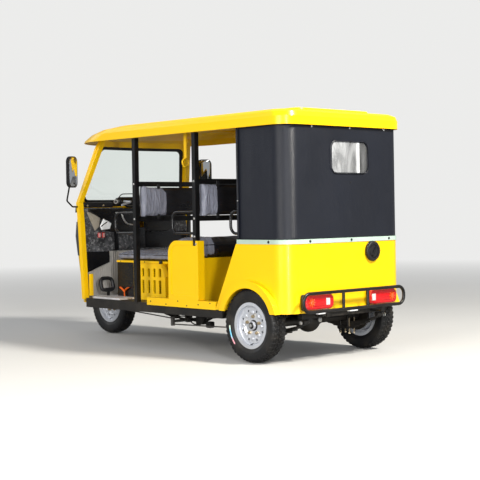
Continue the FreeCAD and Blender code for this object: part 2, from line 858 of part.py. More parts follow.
def without_lamps(shape):
    """The shape with its two round holes for the headlamps."""
    for sign in (-1, 1):
        shape = shape.cut(headlamp(sign, LAMP_R + FIT))
    return shape


def nose_shell():
    """Curved apron round the front wheel, open behind and below, with holes for the lamps."""
    outer = nose_loft(NOSE_LEVELS, 0, NOSE_BACK_X)
    rows = NOSE_LEVELS[:-1] + [(NOSE_TOP_Z - NOSE_WALL,) + NOSE_LEVELS[-1][1:]]
    shell = outer.cut(nose_loft(rows, NOSE_WALL, NOSE_BACK_X - NOSE_WALL)).cut(behind_pillars())
    low = NOSE_LOW_Z - NOSE_WALL
    bay = rectangle(around(0, WHEEL_BAY_Y), (low, WHEEL_BAY_TOP))
    bay = front_profile(bay, [0, 0, WHEEL_BAY_R, WHEEL_BAY_R], (NOSE_BACK_X, NOSE_BACK_X + THROUGH))
    return without_lamps(shell.cut(bay))


def nose_band():
    """Dark panel that wraps the nose round the lamps, and the strip below the windscreen."""
    rows = [row for row in NOSE_LEVELS if BAND_LOW_Z <= row[0] <= BAND_TOP_Z]
    z_range = (BAND_LOW_Z, BAND_TOP_Z)
    sides = around(0, NOSE_HALF_W + NOSE_INSET)
    band = nose_loft(rows, -BAND_PROUD - FIT, NOSE_BACK_X).cut(nose_loft(rows, -FIT, NOSE_BACK_X - NOSE_WALL))
    band = band.common(block((BAND_BACK_X, BAND_BACK_X + THROUGH), sides, z_range))
    top_rows = NOSE_LEVELS[-2:]
    strip = nose_loft(top_rows, -SCUTTLE_PROUD - FIT, NOSE_BACK_X)
    strip = strip.cut(nose_loft(top_rows, -FIT, NOSE_BACK_X - NOSE_WALL))
    strip_x = SCREEN_LOW_X + PILLAR_X / 2
    strip = strip.common(block((strip_x, strip_x + THROUGH), sides, (NOSE_TOP_Z - SCUTTLE_H, NOSE_TOP_Z)))
    return Part.makeCompound([without_lamps(band), strip])


def front_lamps():
    """Headlamp bowls with rounded lenses."""
    pieces = []
    for sign in (-1, 1):
        bowl = headlamp(sign, LAMP_R)
        rim = max(bowl.Edges, key=lambda edge: edge.CenterOfMass.x)
        pieces.append(bowl.makeFillet(LAMP_EDGE_R, [rim]))
    return Part.makeCompound(pieces)


def dash_panel():
    """Folded dashboard behind the windscreen, open round the steering column."""
    front_x = DASH_X + DASH_T
    outline = [(DASH_X, DASH_LOW_Z), (front_x, DASH_LOW_Z), (front_x, DASH_BEND_Z),
               (front_x + DASH_LEAN, DASH_TOP_Z), (DASH_X + DASH_LEAN, DASH_TOP_Z), (DASH_X, DASH_BEND_Z)]
    panel = side_profile(outline, [0] * 6, around(0, DASH_HALF_W))
    shelf_low = DASH_BEND_Z - 2 * SHELF_T
    shelf = [(front_x, shelf_low), (front_x + SHELF_REACH, shelf_low + SHELF_RISE),
             (front_x + SHELF_REACH, shelf_low + SHELF_RISE + SHELF_T), (front_x, shelf_low + SHELF_T)]
    shelf = side_profile(shelf, [0] * 4, around(0, DASH_HALF_W - SHELF_REACH / 2))
    gap = block((DASH_X - DASH_T, front_x + 2 * SHELF_REACH), around(0, DASH_GAP_Y),
                (DASH_GAP_Z, DASH_TOP_Z + DASH_T))
    return fuse([panel, shelf]).cut(gap)


def dash_cowls():
    """Black knee cowls below the dashboard and the meter housing above it."""
    top = DASH_LOW_Z - FIT
    inner = top - COWL_IN_DROP
    knee = [(COWL_IN_Y, inner), (DASH_HALF_W, top - COWL_OUT_DROP), (DASH_HALF_W, top), (COWL_IN_Y, top)]
    knee = front_profile(knee, [0] * 4, (DASH_X - COWL_T, DASH_X))
    low_z = NOSE_TOP_Z + FIT
    front_x = METER_X + METER_LENGTH
    meter = [(METER_X, low_z), (front_x, low_z), (front_x, low_z + METER_H / 2),
             (METER_X + METER_LENGTH / 3, low_z + METER_H), (METER_X, low_z + METER_H / 2)]
    meter = side_profile(meter, [0] * 5, around(0, METER_HALF_W))
    return Part.makeCompound([knee, mirrored(knee), meter])


def front_lining():
    """Ribbed sheet that closes the foot space in front, with its toe strip, open round the struts."""
    rear_x = DASH_X + FIT
    front_x = rear_x + LINING_T
    z_range = (FLOOR_Z, DASH_LOW_Z - FIT)
    pieces = [block((rear_x + LINING_T / 2, front_x), around(0, DASH_HALF_W), z_range)]
    count = int(DASH_HALF_W / LINING_RIB)
    for i in range(-count, count + 1):
        pieces.append(block((rear_x, front_x), around(LINING_RIB * i, LINING_RIB / 4), z_range))
    pieces.append(block((FRAME_FRONT_X + FIT, front_x), around(0, DASH_HALF_W), (FLOOR_Z, FLOOR_TOP_Z)))
    gap = block((DASH_X - COWL_T, DASH_X + COWL_T + LINING_T), around(0, STRUT_GAP_Y),
                (FLOOR_Z, FLOOR_Z + STRUT_GAP_H))
    toe_gap = block((FRAME_FRONT_X, DASH_X - COWL_T), around(0, RAIL_Y + RAIL_W / 2), (FLOOR_Z, FLOOR_TOP_Z))
    return fuse(pieces).cut(gap).cut(toe_gap)


def tub_plan(inset, front_x, z_range):
    """Plan of the tub, U-shaped round its rear corners, solid inside."""
    corners = [(front_x, BODY_HALF_W - inset), (BODY_REAR_X + inset, BODY_HALF_W - inset),
               (BODY_REAR_X + inset, inset - BODY_HALF_W), (front_x, inset - BODY_HALF_W)]
    radius = BODY_CORNER_R - inset
    return plan_profile(corners, [0, radius, radius, 0], z_range)


def rear_body():
    """Open tub with flared wheel arches and inner wheel wells."""
    z_range = (FLOOR_Z, BODY_TOP_Z)
    inside = tub_plan(BODY_WALL, BODY_EDGE_LOW_X + BODY_WALL, z_range)
    shell = tub_plan(0, BODY_EDGE_LOW_X, z_range).cut(inside)
    edge = [(BODY_EDGE_LOW_X, FLOOR_Z), (BODY_EDGE_LOW_X + BODY_WALL, FLOOR_Z),
            (BODY_EDGE_LOW_X + BODY_WALL, BODY_TOP_Z), (BODY_EDGE_TOP_X, BODY_TOP_Z)]
    shell = shell.cut(side_profile(edge, [0] * 4, around(0, THROUGH)))
    arch_z = AXLE_Z + ARCH_RISE
    shell = shell.cut(cross_round(ARCH_R, around(0, THROUGH), 0, arch_z))
    above = block(around(0, 2 * ARCH_R), (0, THROUGH), z_range)
    skirt_y = BODY_HALF_W - BODY_WALL
    flare_y = BODY_HALF_W + FLARE_OUT
    flare = cross_round(ARCH_R + FLARE_T, (skirt_y, flare_y), 0, arch_z)
    flare = flare.cut(cross_round(ARCH_R, (skirt_y, flare_y - FLARE_LIP_T), 0, arch_z))
    flare = flare.cut(cross_round(ARCH_R - FLARE_LIP, (skirt_y, flare_y + FLARE_LIP_T), 0, arch_z))
    flare = flare.common(above)
    well = cross_round(ARCH_R + WELL_T, (WELL_Y - WELL_T, skirt_y), 0, arch_z)
    well = well.cut(cross_round(ARCH_R, (WELL_Y, skirt_y + WELL_T), 0, arch_z)).common(above)
    return fuse([shell, flare, well, mirrored(flare), mirrored(well)])


def curtain_trim():
    """Pale strip that clamps the curtain's foot to the tub."""
    z_range = (BODY_TOP_Z, BODY_TOP_Z + TRIM_H)
    strip = tub_plan(-TRIM_PROUD, CURTAIN_FRONT_X, z_range)
    return strip.cut(tub_plan(BODY_WALL, CURTAIN_FRONT_X + BODY_WALL, z_range))


def window_prism(inset, x_range):
    """Rounded rectangle of the rear window, pushed along the vehicle."""
    z_range = (WINDOW_LOW_Z + inset, WINDOW_LOW_Z + WINDOW_H - inset)
    corners = rectangle(around(WINDOW_Y, WINDOW_W / 2 - inset), z_range)
    return front_profile(corners, [WINDOW_R - inset] * 4, x_range)


def rear_curtain():
    """Vinyl curtain round both sides and the back, with its window cut out."""
    z_range = (BODY_TOP_Z + TRIM_H, RIM_Z - FIT)
    inside = tub_plan(CURTAIN_T, CURTAIN_FRONT_X + CURTAIN_T, z_range)
    shell = tub_plan(0, CURTAIN_FRONT_X, z_range).cut(inside)
    return shell.cut(window_prism(0, around(BODY_REAR_X, 2 * CURTAIN_T)))


def rear_window():
    """Clear film in the curtain's window."""
    return window_prism(FIT, around(BODY_REAR_X + CURTAIN_T / 2, FILM_T / 2))


def steer_point(z):
    """Point of the steering axis at a height."""
    return STEER_LOW.add(STEER_UP * ((z - STEER_LOW.z) / STEER_UP.z))


def chassis_frame():
    """Ladder of rails and cross members with the spring hangers."""
    top = FLOOR_Z - FIT
    z_range = (top - RAIL_H, top)
    side = block((SIDE_RAIL_REAR_X, FRAME_FRONT_X), (SIDE_RAIL_OUT - SIDE_RAIL_W, SIDE_RAIL_OUT),
                 (top - SIDE_RAIL_H, top))
    rail = block((FRAME_REAR_X, FRAME_FRONT_X), around(RAIL_Y, RAIL_W / 2), z_range)
    pieces = [side, mirrored(side), rail, mirrored(rail)]
    for x in (SIDE_RAIL_REAR_X, C_POST_X, B_POST_X, FRAME_FRONT_X - CROSS_W):
        pieces.append(block((x, x + CROSS_W), around(0, SIDE_RAIL_OUT), z_range))
    pieces.append(block((FRAME_REAR_X, FRAME_REAR_X + CROSS_W), around(0, SPRING_Y + SPRING_W), z_range))
    hanger_z = (EYE_Z + EYE_R + HANGER_GAP, top)
    hanger_y = around(SPRING_Y, SPRING_W / 2 + HANGER_SIDE)
    # Hanger's span along the vehicle
    for x_range in ((SPRING_REAR_X - HANGER_FRONT, SPRING_REAR_X + HANGER_FRONT),
                    (SPRING_FRONT_X - HANGER_BACK, SPRING_FRONT_X + HANGER_FRONT)):
        hanger = block(x_range, hanger_y, hanger_z)
        web = block((x_range[0], x_range[0] + HANGER_FRONT), (RAIL_Y, SPRING_Y), hanger_z)
        pieces += [hanger, mirrored(hanger), web, mirrored(web)]
    return fuse(pieces).cut(engine_room())


def steering_head():
    """Head tube of the steering with the struts that carry it on the front cross member."""
    low = steer_point(HEAD_LOW_Z)
    high = steer_point(HEAD_TOP_Z)
    middle = steer_point((HEAD_LOW_Z + HEAD_TOP_Z) / 2)
    foot_x = FRAME_FRONT_X - CROSS_W / 2
    foot_z = FLOOR_Z - RAIL_H / 2
    pieces = [rod(low, high, STEM_R + STEM_GAP + HEAD_WALL)]
    inner_end = low.add(STEER_UP * INNER_STRUT_R)
    for sign in (-1, 1):
        pieces.append(rod(V(foot_x, sign * RAIL_Y, foot_z), middle, STRUT_R))
        pieces.append(rod(V(foot_x, sign * INNER_STRUT_Y, foot_z), inner_end, INNER_STRUT_R))
    bore = rod(low.sub(STEER_UP * HEAD_WALL), high.add(STEER_UP * HEAD_WALL), STEM_R + STEM_GAP)
    below = block(around(foot_x, CROSS_W), around(0, 2 * RAIL_Y), (foot_z - RAIL_H, FLOOR_Z))
    return fuse(pieces).cut(bore).cut(below)


def engine_room():
    """Clearance round the engine for the floor and frame."""
    x_range = (ENGINE_X - ENGINE_ROOM, ENGINE_X + ENGINE_LENGTH + ENGINE_ROOM)
    return block(x_range, around(0, ENGINE_HALF_W + ENGINE_ROOM), (ENGINE_LOW_Z, ENGINE_LOW_Z + ENGINE_H))


def engine_block():
    """Plain engine and gearbox block with chamfered edges."""
    z_range = (ENGINE_LOW_Z, ENGINE_LOW_Z + ENGINE_H)
    body = block((ENGINE_X, ENGINE_X + ENGINE_LENGTH), around(0, ENGINE_HALF_W), z_range)
    return body.makeChamfer(ENGINE_CHAMFER, body.Edges)


def rear_axle():
    """Axle tube with the differential bulge, spring seats, backing plates and stubs."""
    reach = TRACK_HALF - DRUM_IN - DRUM_W - BACKPLATE_GAP
    pieces = [cross_round(AXLE_TUBE_R, around(0, reach), 0, AXLE_Z)]
    bulge = Part.makeSphere(DIFF_R, V(0, DIFF_Y, AXLE_Z))
    pieces.append(bulge.common(block(around(0, DIFF_R), around(DIFF_Y, DIFF_HALF_W), around(AXLE_Z, DIFF_R))))
    pieces.append(Part.makeCone(DIFF_NECK_R, AXLE_TUBE_R, DIFF_NECK, V(DIFF_HALF_W, DIFF_Y, AXLE_Z), ALONG))
    for sign in (-1, 1):
        neck_y = DIFF_Y + sign * (DIFF_HALF_W - 4)
        outward = V(0, sign, 0)
        pieces.append(Part.makeCone(DIFF_NECK_R - 2, AXLE_TUBE_R, DIFF_NECK, V(0, neck_y, AXLE_Z), outward))
        pieces.append(block(around(0, SPRING_SEAT_HALF), around(sign * SPRING_Y, SPRING_W / 2),
                            (AXLE_Z - AXLE_TUBE_R - SPRING_SEAT_T, AXLE_Z)))
        end = V(0, sign * reach, AXLE_Z)
        pieces.append(Part.makeCylinder(DRUM_R - DRUM_WALL / 2, BACKPLATE_T, end, outward * -1))
        pieces.append(Part.makeCylinder(STUB_R, TRACK_HALF + HUB_OUT - DISC_IN - reach, end, outward))
    return fuse(pieces)


def leaf(half_front, half_rear, top_z, rise):
    """One spring leaf: an arc band through three stations."""
    front_z = top_z + rise * (half_front / SPRING_FRONT_X) ** 2
    rear_z = top_z + rise * (half_rear / SPRING_REAR_X) ** 2
    y = SPRING_Y - SPRING_W / 2
    drop = V(0, 0, -LEAF_T)
    high = [V(-half_rear, y, rear_z), V(0, y, top_z), V(half_front, y, front_z)]
    low = [point.add(drop) for point in high]
    wire = Part.Wire([
        Part.Arc(low[0], low[1], low[2]).toShape(),
        Part.LineSegment(low[2], high[2]).toShape(),
        Part.Arc(high[2], high[1], high[0]).toShape(),
        Part.LineSegment(high[0], low[0]).toShape(),
    ])
    return Part.Face(wire).extrude(V(0, SPRING_W, 0))


def leaf_springs():
    """Leaf packs with rolled eyes, U-bolts over the axle and clamp plates, one for each side."""
    seat_z = AXLE_Z - AXLE_TUBE_R - SPRING_SEAT_T - SPRING_SEAT_GAP
    rise = EYE_Z - EYE_R - seat_z + LEAF_T / 2
    side = around(SPRING_Y, SPRING_W / 2)
    pieces = []
    for i in range(LEAVES):
        share = 1.0 - LEAF_STEP * i
        top_z = seat_z - (LEAF_T - LEAF_LAP) * i
        pieces.append(leaf(SPRING_FRONT_X * share, -SPRING_REAR_X * share, top_z, rise))
    for x in (SPRING_FRONT_X, SPRING_REAR_X):
        pieces.append(cross_round(EYE_R, side, x, EYE_Z))
        pieces.append(block(around(x, EYE_R / 2), side, (EYE_Z, EYE_Z + EYE_R + HANGER_GAP - FIT)))
    plate_z = seat_z - LEAF_T * LEAVES - CLAMP_T
    pieces.append(block(around(0, AXLE_TUBE_R + CLAMP_SIDE), around(SPRING_Y, SPRING_W / 2 + CLAMP_SIDE),
                        (plate_z, plate_z + CLAMP_T + LEAF_T)))
    over = AXLE_TUBE_R + UBOLT_R + FIT
    foot_z = plate_z - UBOLT_TAIL
    for sign in (-1, 1):
        y = SPRING_Y + sign * (SPRING_W / 2 + UBOLT_R + 1)
        points = [(-over, y, foot_z), (-over, y, AXLE_Z + over), (over, y, AXLE_Z + over), (over, y, foot_z)]
        pieces.append(tube(points, UBOLT_R, over - FIT))
    return both_sides(fuse(pieces))


def brake_rods():
    """Cross shaft below the floor with its brackets, levers and the rods to pedal and drums."""
    shaft = cross_round(BRAKE_SHAFT_R, around(0, BRAKE_ROD_Y + BRAKE_SHAFT_R), BRAKE_SHAFT_X, BRAKE_SHAFT_Z)
    pieces = [shaft]
    rail_low = FLOOR_Z - FIT - RAIL_H - FIT
    for sign in (-1, 1):
        pieces.append(block(around(BRAKE_SHAFT_X, BRAKE_SHAFT_R), around(sign * RAIL_Y, RAIL_W / 4),
                            (BRAKE_SHAFT_Z, rail_low)))
        y = sign * BRAKE_ROD_Y
        pieces.append(block(around(BRAKE_SHAFT_X, BRAKE_SHAFT_R), around(y, BRAKE_SHAFT_R),
                            around(BRAKE_SHAFT_Z, 3 * BRAKE_SHAFT_R)))
        drum_end = V(AXLE_TUBE_R + BRAKE_SHAFT_R, y, AXLE_Z - AXLE_TUBE_R - BRAKE_SHAFT_R)
        pieces.append(rod(V(BRAKE_SHAFT_X, y, BRAKE_SHAFT_Z - 2 * BRAKE_SHAFT_R), drum_end, BRAKE_ROD_R))
    front = V(BRAKE_FRONT_X, BRAKE_ROD_Y, BRAKE_FRONT_Z)
    pieces.append(rod(V(BRAKE_SHAFT_X, BRAKE_ROD_Y, BRAKE_SHAFT_Z + 2 * BRAKE_SHAFT_R), front, BRAKE_ROD_R))
    pieces.append(block(around(BRAKE_FRONT_X, BRAKE_SHAFT_R), around(BRAKE_ROD_Y, BRAKE_SHAFT_R),
                        (BRAKE_FRONT_Z - BRAKE_SHAFT_R, FLOOR_Z - FIT)))
    return fuse(pieces)


def drive_shaft():
    """Propeller shaft with a joint at each end, between the differential and the gearbox."""
    rear_face = DIFF_HALF_W + DIFF_NECK + FIT
    front_face = ENGINE_X - FIT
    rear = V(rear_face, DIFF_Y, AXLE_Z)
    front = V(front_face, 0, SHAFT_FRONT_Z)
    along = front.sub(rear).normalize()
    pieces = [rod(rear, front, SHAFT_R)]
    for point, way in ((rear, 1), (front, -1)):
        inward = along * way
        pieces.append(rod(point.sub(inward * SHAFT_R), point.add(inward * SHAFT_R), SHAFT_FLANGE_R))
        pieces.append(rod(point.add(inward * 2 * SHAFT_R), point.add(inward * 4 * SHAFT_R), SHAFT_YOKE_R))
    return fuse(pieces).common(block((rear_face, front_face), around(0, THROUGH), (0, FLOOR_Z)))


def exhaust():
    """Silencer slung under the right side with its front and tail pipes."""
    y = SILENCER_Y
    z = SILENCER_Z
    front_x = SILENCER_X + SILENCER_LENGTH
    silencer = Part.makeCylinder(SILENCER_R, SILENCER_LENGTH, V(SILENCER_X, y, z), ALONG)
    silencer = silencer.makeFillet(SILENCER_R / 5, [silencer.Edges[0], silencer.Edges[2]])
    port_y = y + PIPE_SHIFT
    front = tube([(front_x - PIPE_R, y, z), (front_x + 3 * PIPE_SHIFT, y, z),
                  (ENGINE_X - PIPE_SHIFT, port_y, z + PIPE_R), (ENGINE_X - FIT, port_y, z + PIPE_R)],
                 PIPE_R, PIPE_SHIFT / 2)
    tail = tube([(SILENCER_X + PIPE_R, y, z), (SILENCER_X - 2 * PIPE_SHIFT, y, z),
                 (SILENCER_X - 4 * PIPE_SHIFT, port_y, z - PIPE_R),
                 (SILENCER_X - 6 * PIPE_SHIFT, port_y, z - PIPE_R)], PIPE_R, PIPE_SHIFT)
    hanger_x = (C_POST_X + FIT, C_POST_X + CROSS_W / 2)
    strap = block(hanger_x, around(y, PIPE_R / 2), (z, FLOOR_Z - FIT - RAIL_H - FIT))
    return fuse([silencer, front, tail, strap])


def floor_pan():
    """Floor sheet, narrower between the wheel wells, open over the engine."""
    wide = SIDE_RAIL_OUT
    tub = wide - BODY_WALL
    narrow = WELL_Y - WELL_T - FIT
    rear_x = BODY_REAR_X + BODY_WALL + FIT
    waist_x = ARCH_R + WELL_T + FIT
    step_x = BODY_EDGE_LOW_X + WELL_T
    left = [(FRAME_FRONT_X, wide), (step_x, wide), (step_x, tub), (waist_x, tub), (waist_x, narrow),
            (rear_x, narrow)]
    corners = [(x, -y) for x, y in left[::-1]] + left
    z_range = (FLOOR_Z, FLOOR_TOP_Z)
    sheet = plan_profile(corners, [0] * len(corners), z_range).cut(engine_room())
    notch = block(around(B_POST_X, POST / 2 + FIT), (POST_IN - FIT, THROUGH), z_range)
    return sheet.cut(notch).cut(mirrored(notch)).cut(strut_room())


def strut_room():
    """Gap in the floor's front edge round the steering struts."""
    return block((FRAME_FRONT_X - CROSS_W, FRAME_FRONT_X + CROSS_W), around(0, RAIL_Y + RAIL_W / 2),
                 (FLOOR_Z, FLOOR_Z + CROSS_W))


def floor_mat():
    """Pale mat in the driver's foot space, rounded at its front corners."""
    rear_x = SEAT_BOX_REAR_X + SEAT_BOX_LENGTH + FIT
    corners = rectangle((rear_x, FRAME_FRONT_X - MAT_FRONT_GAP), around(0, SIDE_RAIL_OUT - MAT_SIDE_GAP))
    mat = plan_profile(corners, [0, MAT_R, MAT_R, 0], (FLOOR_TOP_Z, MAT_TOP_Z))
    return mat.cut(strut_room())


def sill_panels():
    """Painted strip along each side between the tub and the driver's step."""
    inner = SIDE_RAIL_OUT + FIT
    x_range = (BODY_EDGE_LOW_X + FIT, SILL_FRONT_X)
    left = block(x_range, (inner, inner + SILL_T), (SILL_LOW_Z, PANEL_LOW_Z))
    lip = block(x_range, (PANEL_IN, inner + SILL_T), (PANEL_LOW_Z - SILL_T, PANEL_LOW_Z))
    return both_sides(fuse([left, lip]))


def side_panels():
    """Half-height box panels between the rear tub and the driver's step."""
    edge_r = PANEL_EDGE_R
    x_range = (PANEL_REAR_X, PANEL_REAR_X + PANEL_LENGTH)
    outline = rectangle(x_range, (PANEL_LOW_Z, PANEL_TOP_Z))
    panel = side_profile(outline, [edge_r, edge_r, PANEL_R, edge_r], (PANEL_IN, PANEL_OUT))
    inner = rectangle((x_range[0] + RECESS_INSET, x_range[1] - RECESS_INSET),
                      (PANEL_LOW_Z + RECESS_INSET, PANEL_TOP_Z - RECESS_INSET))
    recess = side_profile(inner, [RECESS_R, RECESS_R, PANEL_R - RECESS_INSET, RECESS_R],
                          around(PANEL_OUT, RECESS_DEPTH))
    seat = block(around(C_POST_X, POST / 2 + FIT), (POST_IN - FIT, THROUGH),
                 around(PANEL_TOP_Z, POST_SEAT_DEPTH))
    return both_sides(panel.cut(recess).cut(seat))


def driver_seat_box():
    """Vented engine cover under the driver's seat, open below and above."""
    low = FLOOR_TOP_Z
    top = DRIVER_CUSHION_LOW_Z - FIT - SEAT_PAN_T - FIT
    wall = SEAT_BOX_WALL
    front_x = SEAT_BOX_REAR_X + SEAT_BOX_LENGTH
    outer = block((SEAT_BOX_REAR_X, front_x), around(0, SEAT_BOX_HALF_W), (low, top))
    inside = block((SEAT_BOX_REAR_X + wall, front_x - wall), around(0, SEAT_BOX_HALF_W - wall), (low, top))
    box = outer.cut(inside)
    z = low + SLOT_INSET
    for height in SLOT_HEIGHTS:
        for column in range(SLOT_COLUMNS):
            x = SEAT_BOX_REAR_X + SLOT_INSET + column * SLOT_STEP
            slot = rectangle((x, x + SLOT_W), (z, z + height))
            box = box.cut(side_profile(slot, [SLOT_R] * 4, around(0, THROUGH)))
        z += height + SLOT_GAP
    return box


def driver_seat_pan():
    """Flat pan that carries the driver's cushion and laps over the vented box."""
    top = DRIVER_CUSHION_LOW_Z - FIT
    front_x = DRIVER_CUSHION_REAR_X + DRIVER_CUSHION_LENGTH - SEAT_PAN_FRONT
    x_range = (DRIVER_CUSHION_REAR_X + SEAT_PAN_BACK, front_x)
    return block(x_range, around(0, DRIVER_CUSHION_HALF_W + SEAT_PAN_SIDE), (top - SEAT_PAN_T, top))


def battery_box():
    """Black box under the front overhang of the driver's seat."""
    rear_x = SEAT_BOX_REAR_X + SEAT_BOX_LENGTH + FIT
    z_range = (MAT_TOP_Z + FIT, DRIVER_CUSHION_LOW_Z - FIT - SEAT_PAN_T - FIT)
    box = block((rear_x, BATTERY_FRONT_X), around(0, BATTERY_HALF_W), z_range)
    uprights = [edge for edge in box.Edges if abs(edge.tangentAt(0).z) > 0.9]
    return box.makeFillet(BATTERY_R, uprights)


def cushion(rear_x, length, half_w, low_z, height, radius):
    """Rounded slab of upholstery."""
    slab = block((rear_x, rear_x + length), around(0, half_w), (low_z, low_z + height))
    return slab.makeFillet(radius, slab.Edges)


def bench_box():
    """Closed box under the second row, with its tunnel."""
    low = FLOOR_TOP_Z
    x_range = (BENCH_REAR_X + BENCH_BOX_BACK, BENCH_REAR_X + BENCH_LENGTH - BENCH_BOX_FRONT)
    box = block(x_range, around(0, BENCH_HALF_W - BENCH_SIDE_GAP), (low, BENCH_LOW_Z - FIT))
    return box.cut(block(x_range, around(0, TUNNEL_HALF_W), (low, low + TUNNEL_H)))


def rear_bench_box():
    """Box under the rear bench, between the wheel wells."""
    x_range = (REAR_BENCH_REAR_X + REAR_BOX_INSET, REAR_BENCH_REAR_X + REAR_BENCH_LENGTH - REAR_BOX_INSET)
    return block(x_range, around(0, WELL_Y - WELL_T - FIT), (FLOOR_TOP_Z, REAR_BENCH_LOW_Z - FIT))


def backrest_frames():
    """Upper and lower bars across each pair of posts."""
    pieces = []
    for x in (B_POST_X, C_POST_X):
        for z in (BAR_TOP_Z, BAR_LOW_Z):
            pieces.append(block(around(x, POST / 2), around(0, POST_IN - FIT), (z, z + BAR_H)))
    return Part.makeCompound(pieces)


def backrest_pads():
    """Pads between the bars of each backrest."""
    pads = []
    z_range = (BAR_LOW_Z + BAR_H + FIT, BAR_TOP_Z - FIT)
    for x in (B_POST_X, C_POST_X):
        slab = block(around(x, PAD_T / 2), around(0, POST_IN - PAD_SIDE_GAP), z_range)
        pads.append(slab.makeFillet(PAD_R, slab.Edges))
    return Part.makeCompound(pads)


def armrest_loops():
    """Bent tube loops ahead of the posts; the driver has one on the left."""
    loops = []
    top_z = LOOP_LOW_Z + LOOP_H
    # Post that carries the loop, length of the loop, sides that have it
    for x, length, sides in ((B_POST_X, LOOP_LENGTH, [1]), (C_POST_X, LOOP_LENGTH, [1, -1]),
                             (D_POST_X, REAR_LOOP_LENGTH, [1, -1])):
        start = x + POST / 2 + FIT
        nose = start + length
        for side in sides:
            y = side * LOOP_Y
            loops.append(tube([(start, y, top_z), (nose, y, top_z), (nose, y, LOOP_LOW_Z),
                               (start, y, LOOP_LOW_Z)], LOOP_R, LOOP_BEND_R))
    return Part.makeCompound(loops)


def rear_guard():
    """Closed tube loop behind the tail lamps with uprights and frame brackets."""
    end_y = GUARD_HALF_W - GUARD_TUBE_R
    top_z = GUARD_LOW_Z + GUARD_H
    corners = [(GUARD_X, -end_y, GUARD_LOW_Z), (GUARD_X, end_y, GUARD_LOW_Z), (GUARD_X, end_y, top_z),
               (GUARD_X, -end_y, top_z)]
    pieces = [closed_tube(corners, GUARD_TUBE_R, GUARD_BEND_R)]
    strap_z = FLOOR_Z - GUARD_STRAP_DROP
    half_t = GUARD_STRAP_T / 2
    for sign in (-1, 1):
        post_y = sign * GUARD_POST_Y
        pieces.append(rod(V(GUARD_X, post_y, GUARD_LOW_Z), V(GUARD_X, post_y, top_z), GUARD_TUBE_R - 1))
        strap = around(sign * RAIL_Y, GUARD_STRAP_W / 2)
        pieces.append(block((GUARD_X - half_t, FRAME_REAR_X - FIT), strap,
                            (strap_z, strap_z + GUARD_STRAP_T)))
        pieces.append(block(around(GUARD_X, half_t), strap, (strap_z, GUARD_LOW_Z)))
    return fuse(pieces)


def tail_lamps():
    """Rounded lamp blocks on the tub's rear wall."""
    y_range = (TAIL_LAMP_IN_Y, TAIL_LAMP_IN_Y + TAIL_LAMP_W)
    corners = rectangle(y_range, (TAIL_LAMP_LOW_Z, TAIL_LAMP_LOW_Z + TAIL_LAMP_H))
    lamp = front_profile(corners, [TAIL_LAMP_R] * 4, (BODY_REAR_X - TAIL_LAMP_T, BODY_REAR_X - FIT))
    return both_sides(lamp)


def fuel_cap():
    """Round filler cap on the tub's rear wall."""
    disc = Part.makeCylinder(CAP_R, CAP_T, V(BODY_REAR_X - FIT, CAP_Y, CAP_Z), V(-1, 0, 0))
    outer = min(disc.Edges, key=lambda edge: edge.CenterOfMass.x)
    return disc.makeFillet(CAP_EDGE_R, [outer])


def mirrors():
    """Mirror heads on bent stems from the A pillars."""
    corners = rectangle(around(MIRROR_Y, MIRROR_W / 2), around(MIRROR_Z, MIRROR_H / 2))
    corner_r = min(MIRROR_CORNER_R, MIRROR_W / 3, MIRROR_H / 3)
    front_x = MIRROR_X + MIRROR_T / 2
    head = front_profile(corners, [corner_r] * 4, around(MIRROR_X, MIRROR_T / 2))
    front_edges = [edge for edge in head.Edges if edge.CenterOfMass.x > front_x - 1]
    head = head.makeFillet(min(MIRROR_EDGE_R, MIRROR_T / 3), front_edges)
    head.rotate(V(MIRROR_X, MIRROR_Y, MIRROR_Z), UP, MIRROR_TOE_DEG)
    foot_x = SCREEN_LOW_X - GASKET_T
    foot_y = PILLAR_MIDDLE_Y + PILLAR_Y / 2 + FIT
    low_z = MIRROR_Z - MIRROR_H / 2
    stem = tube([(foot_x, foot_y, STEM_FOOT_Z), (foot_x, foot_y + 2 * STEM_BEND_R, STEM_FOOT_Z),
                 (foot_x - STEM_BEND_R, MIRROR_Y, STEM_FOOT_Z + 2 * STEM_BEND_R),
                 (front_x + STEM_ROD_R, MIRROR_Y, low_z + 2 * STEM_BEND_R),
                 (MIRROR_X, MIRROR_Y, low_z + 4 * STEM_BEND_R)], STEM_ROD_R, STEM_BEND_R)
    return both_sides(fuse([head, stem]))


def grab_straps():
    """Hand strap with a ring, hung from the roof rail on each side."""
    y = POST_Y - STRAP_IN
    ring = Part.makeTorus(RING_R, RING_ROD_R, V(STRAP_X, y, RING_Z), ALONG)
    top = RIM_Z + BOW_H
    belt = block(around(STRAP_X, STRAP_W / 2), around(y, STRAP_T / 2), (RING_Z + RING_R, top))
    hook = block(around(STRAP_X, STRAP_W / 2), (y, POST_IN - FIT), (top - 2 * STRAP_T, top))
    return both_sides(fuse([belt, ring, hook]))


def foot_controls():
    """Brake pedal loop and the lever beside it, on the floor's front part."""
    base = MAT_TOP_Z + FIT
    low_z = base + PEDAL_LOW
    far_y = PEDAL_Y + PEDAL_W
    top_x = PEDAL_X + PEDAL_H / 4
    top_z = low_z + PEDAL_H
    loop = closed_tube([(PEDAL_X, PEDAL_Y, low_z), (PEDAL_X, far_y, low_z), (top_x, far_y, top_z),
                        (top_x, PEDAL_Y, top_z)], PEDAL_ROD_R, PEDAL_BEND_R)
    foot = block(around(PEDAL_X, PEDAL_ROD_R), around((PEDAL_Y + far_y) / 2, PEDAL_ROD_R), (base, low_z))
    stalk = block(around(TREAD_X, PEDAL_ROD_R), around(TREAD_Y, PEDAL_ROD_R), (base, low_z))
    tread = block(around(TREAD_X, 2 * PEDAL_ROD_R), around(TREAD_Y, TREAD_W / 2), (low_z, low_z + TREAD_T))
    return Part.makeCompound([fuse([loop, foot]), fuse([stalk, tread])])


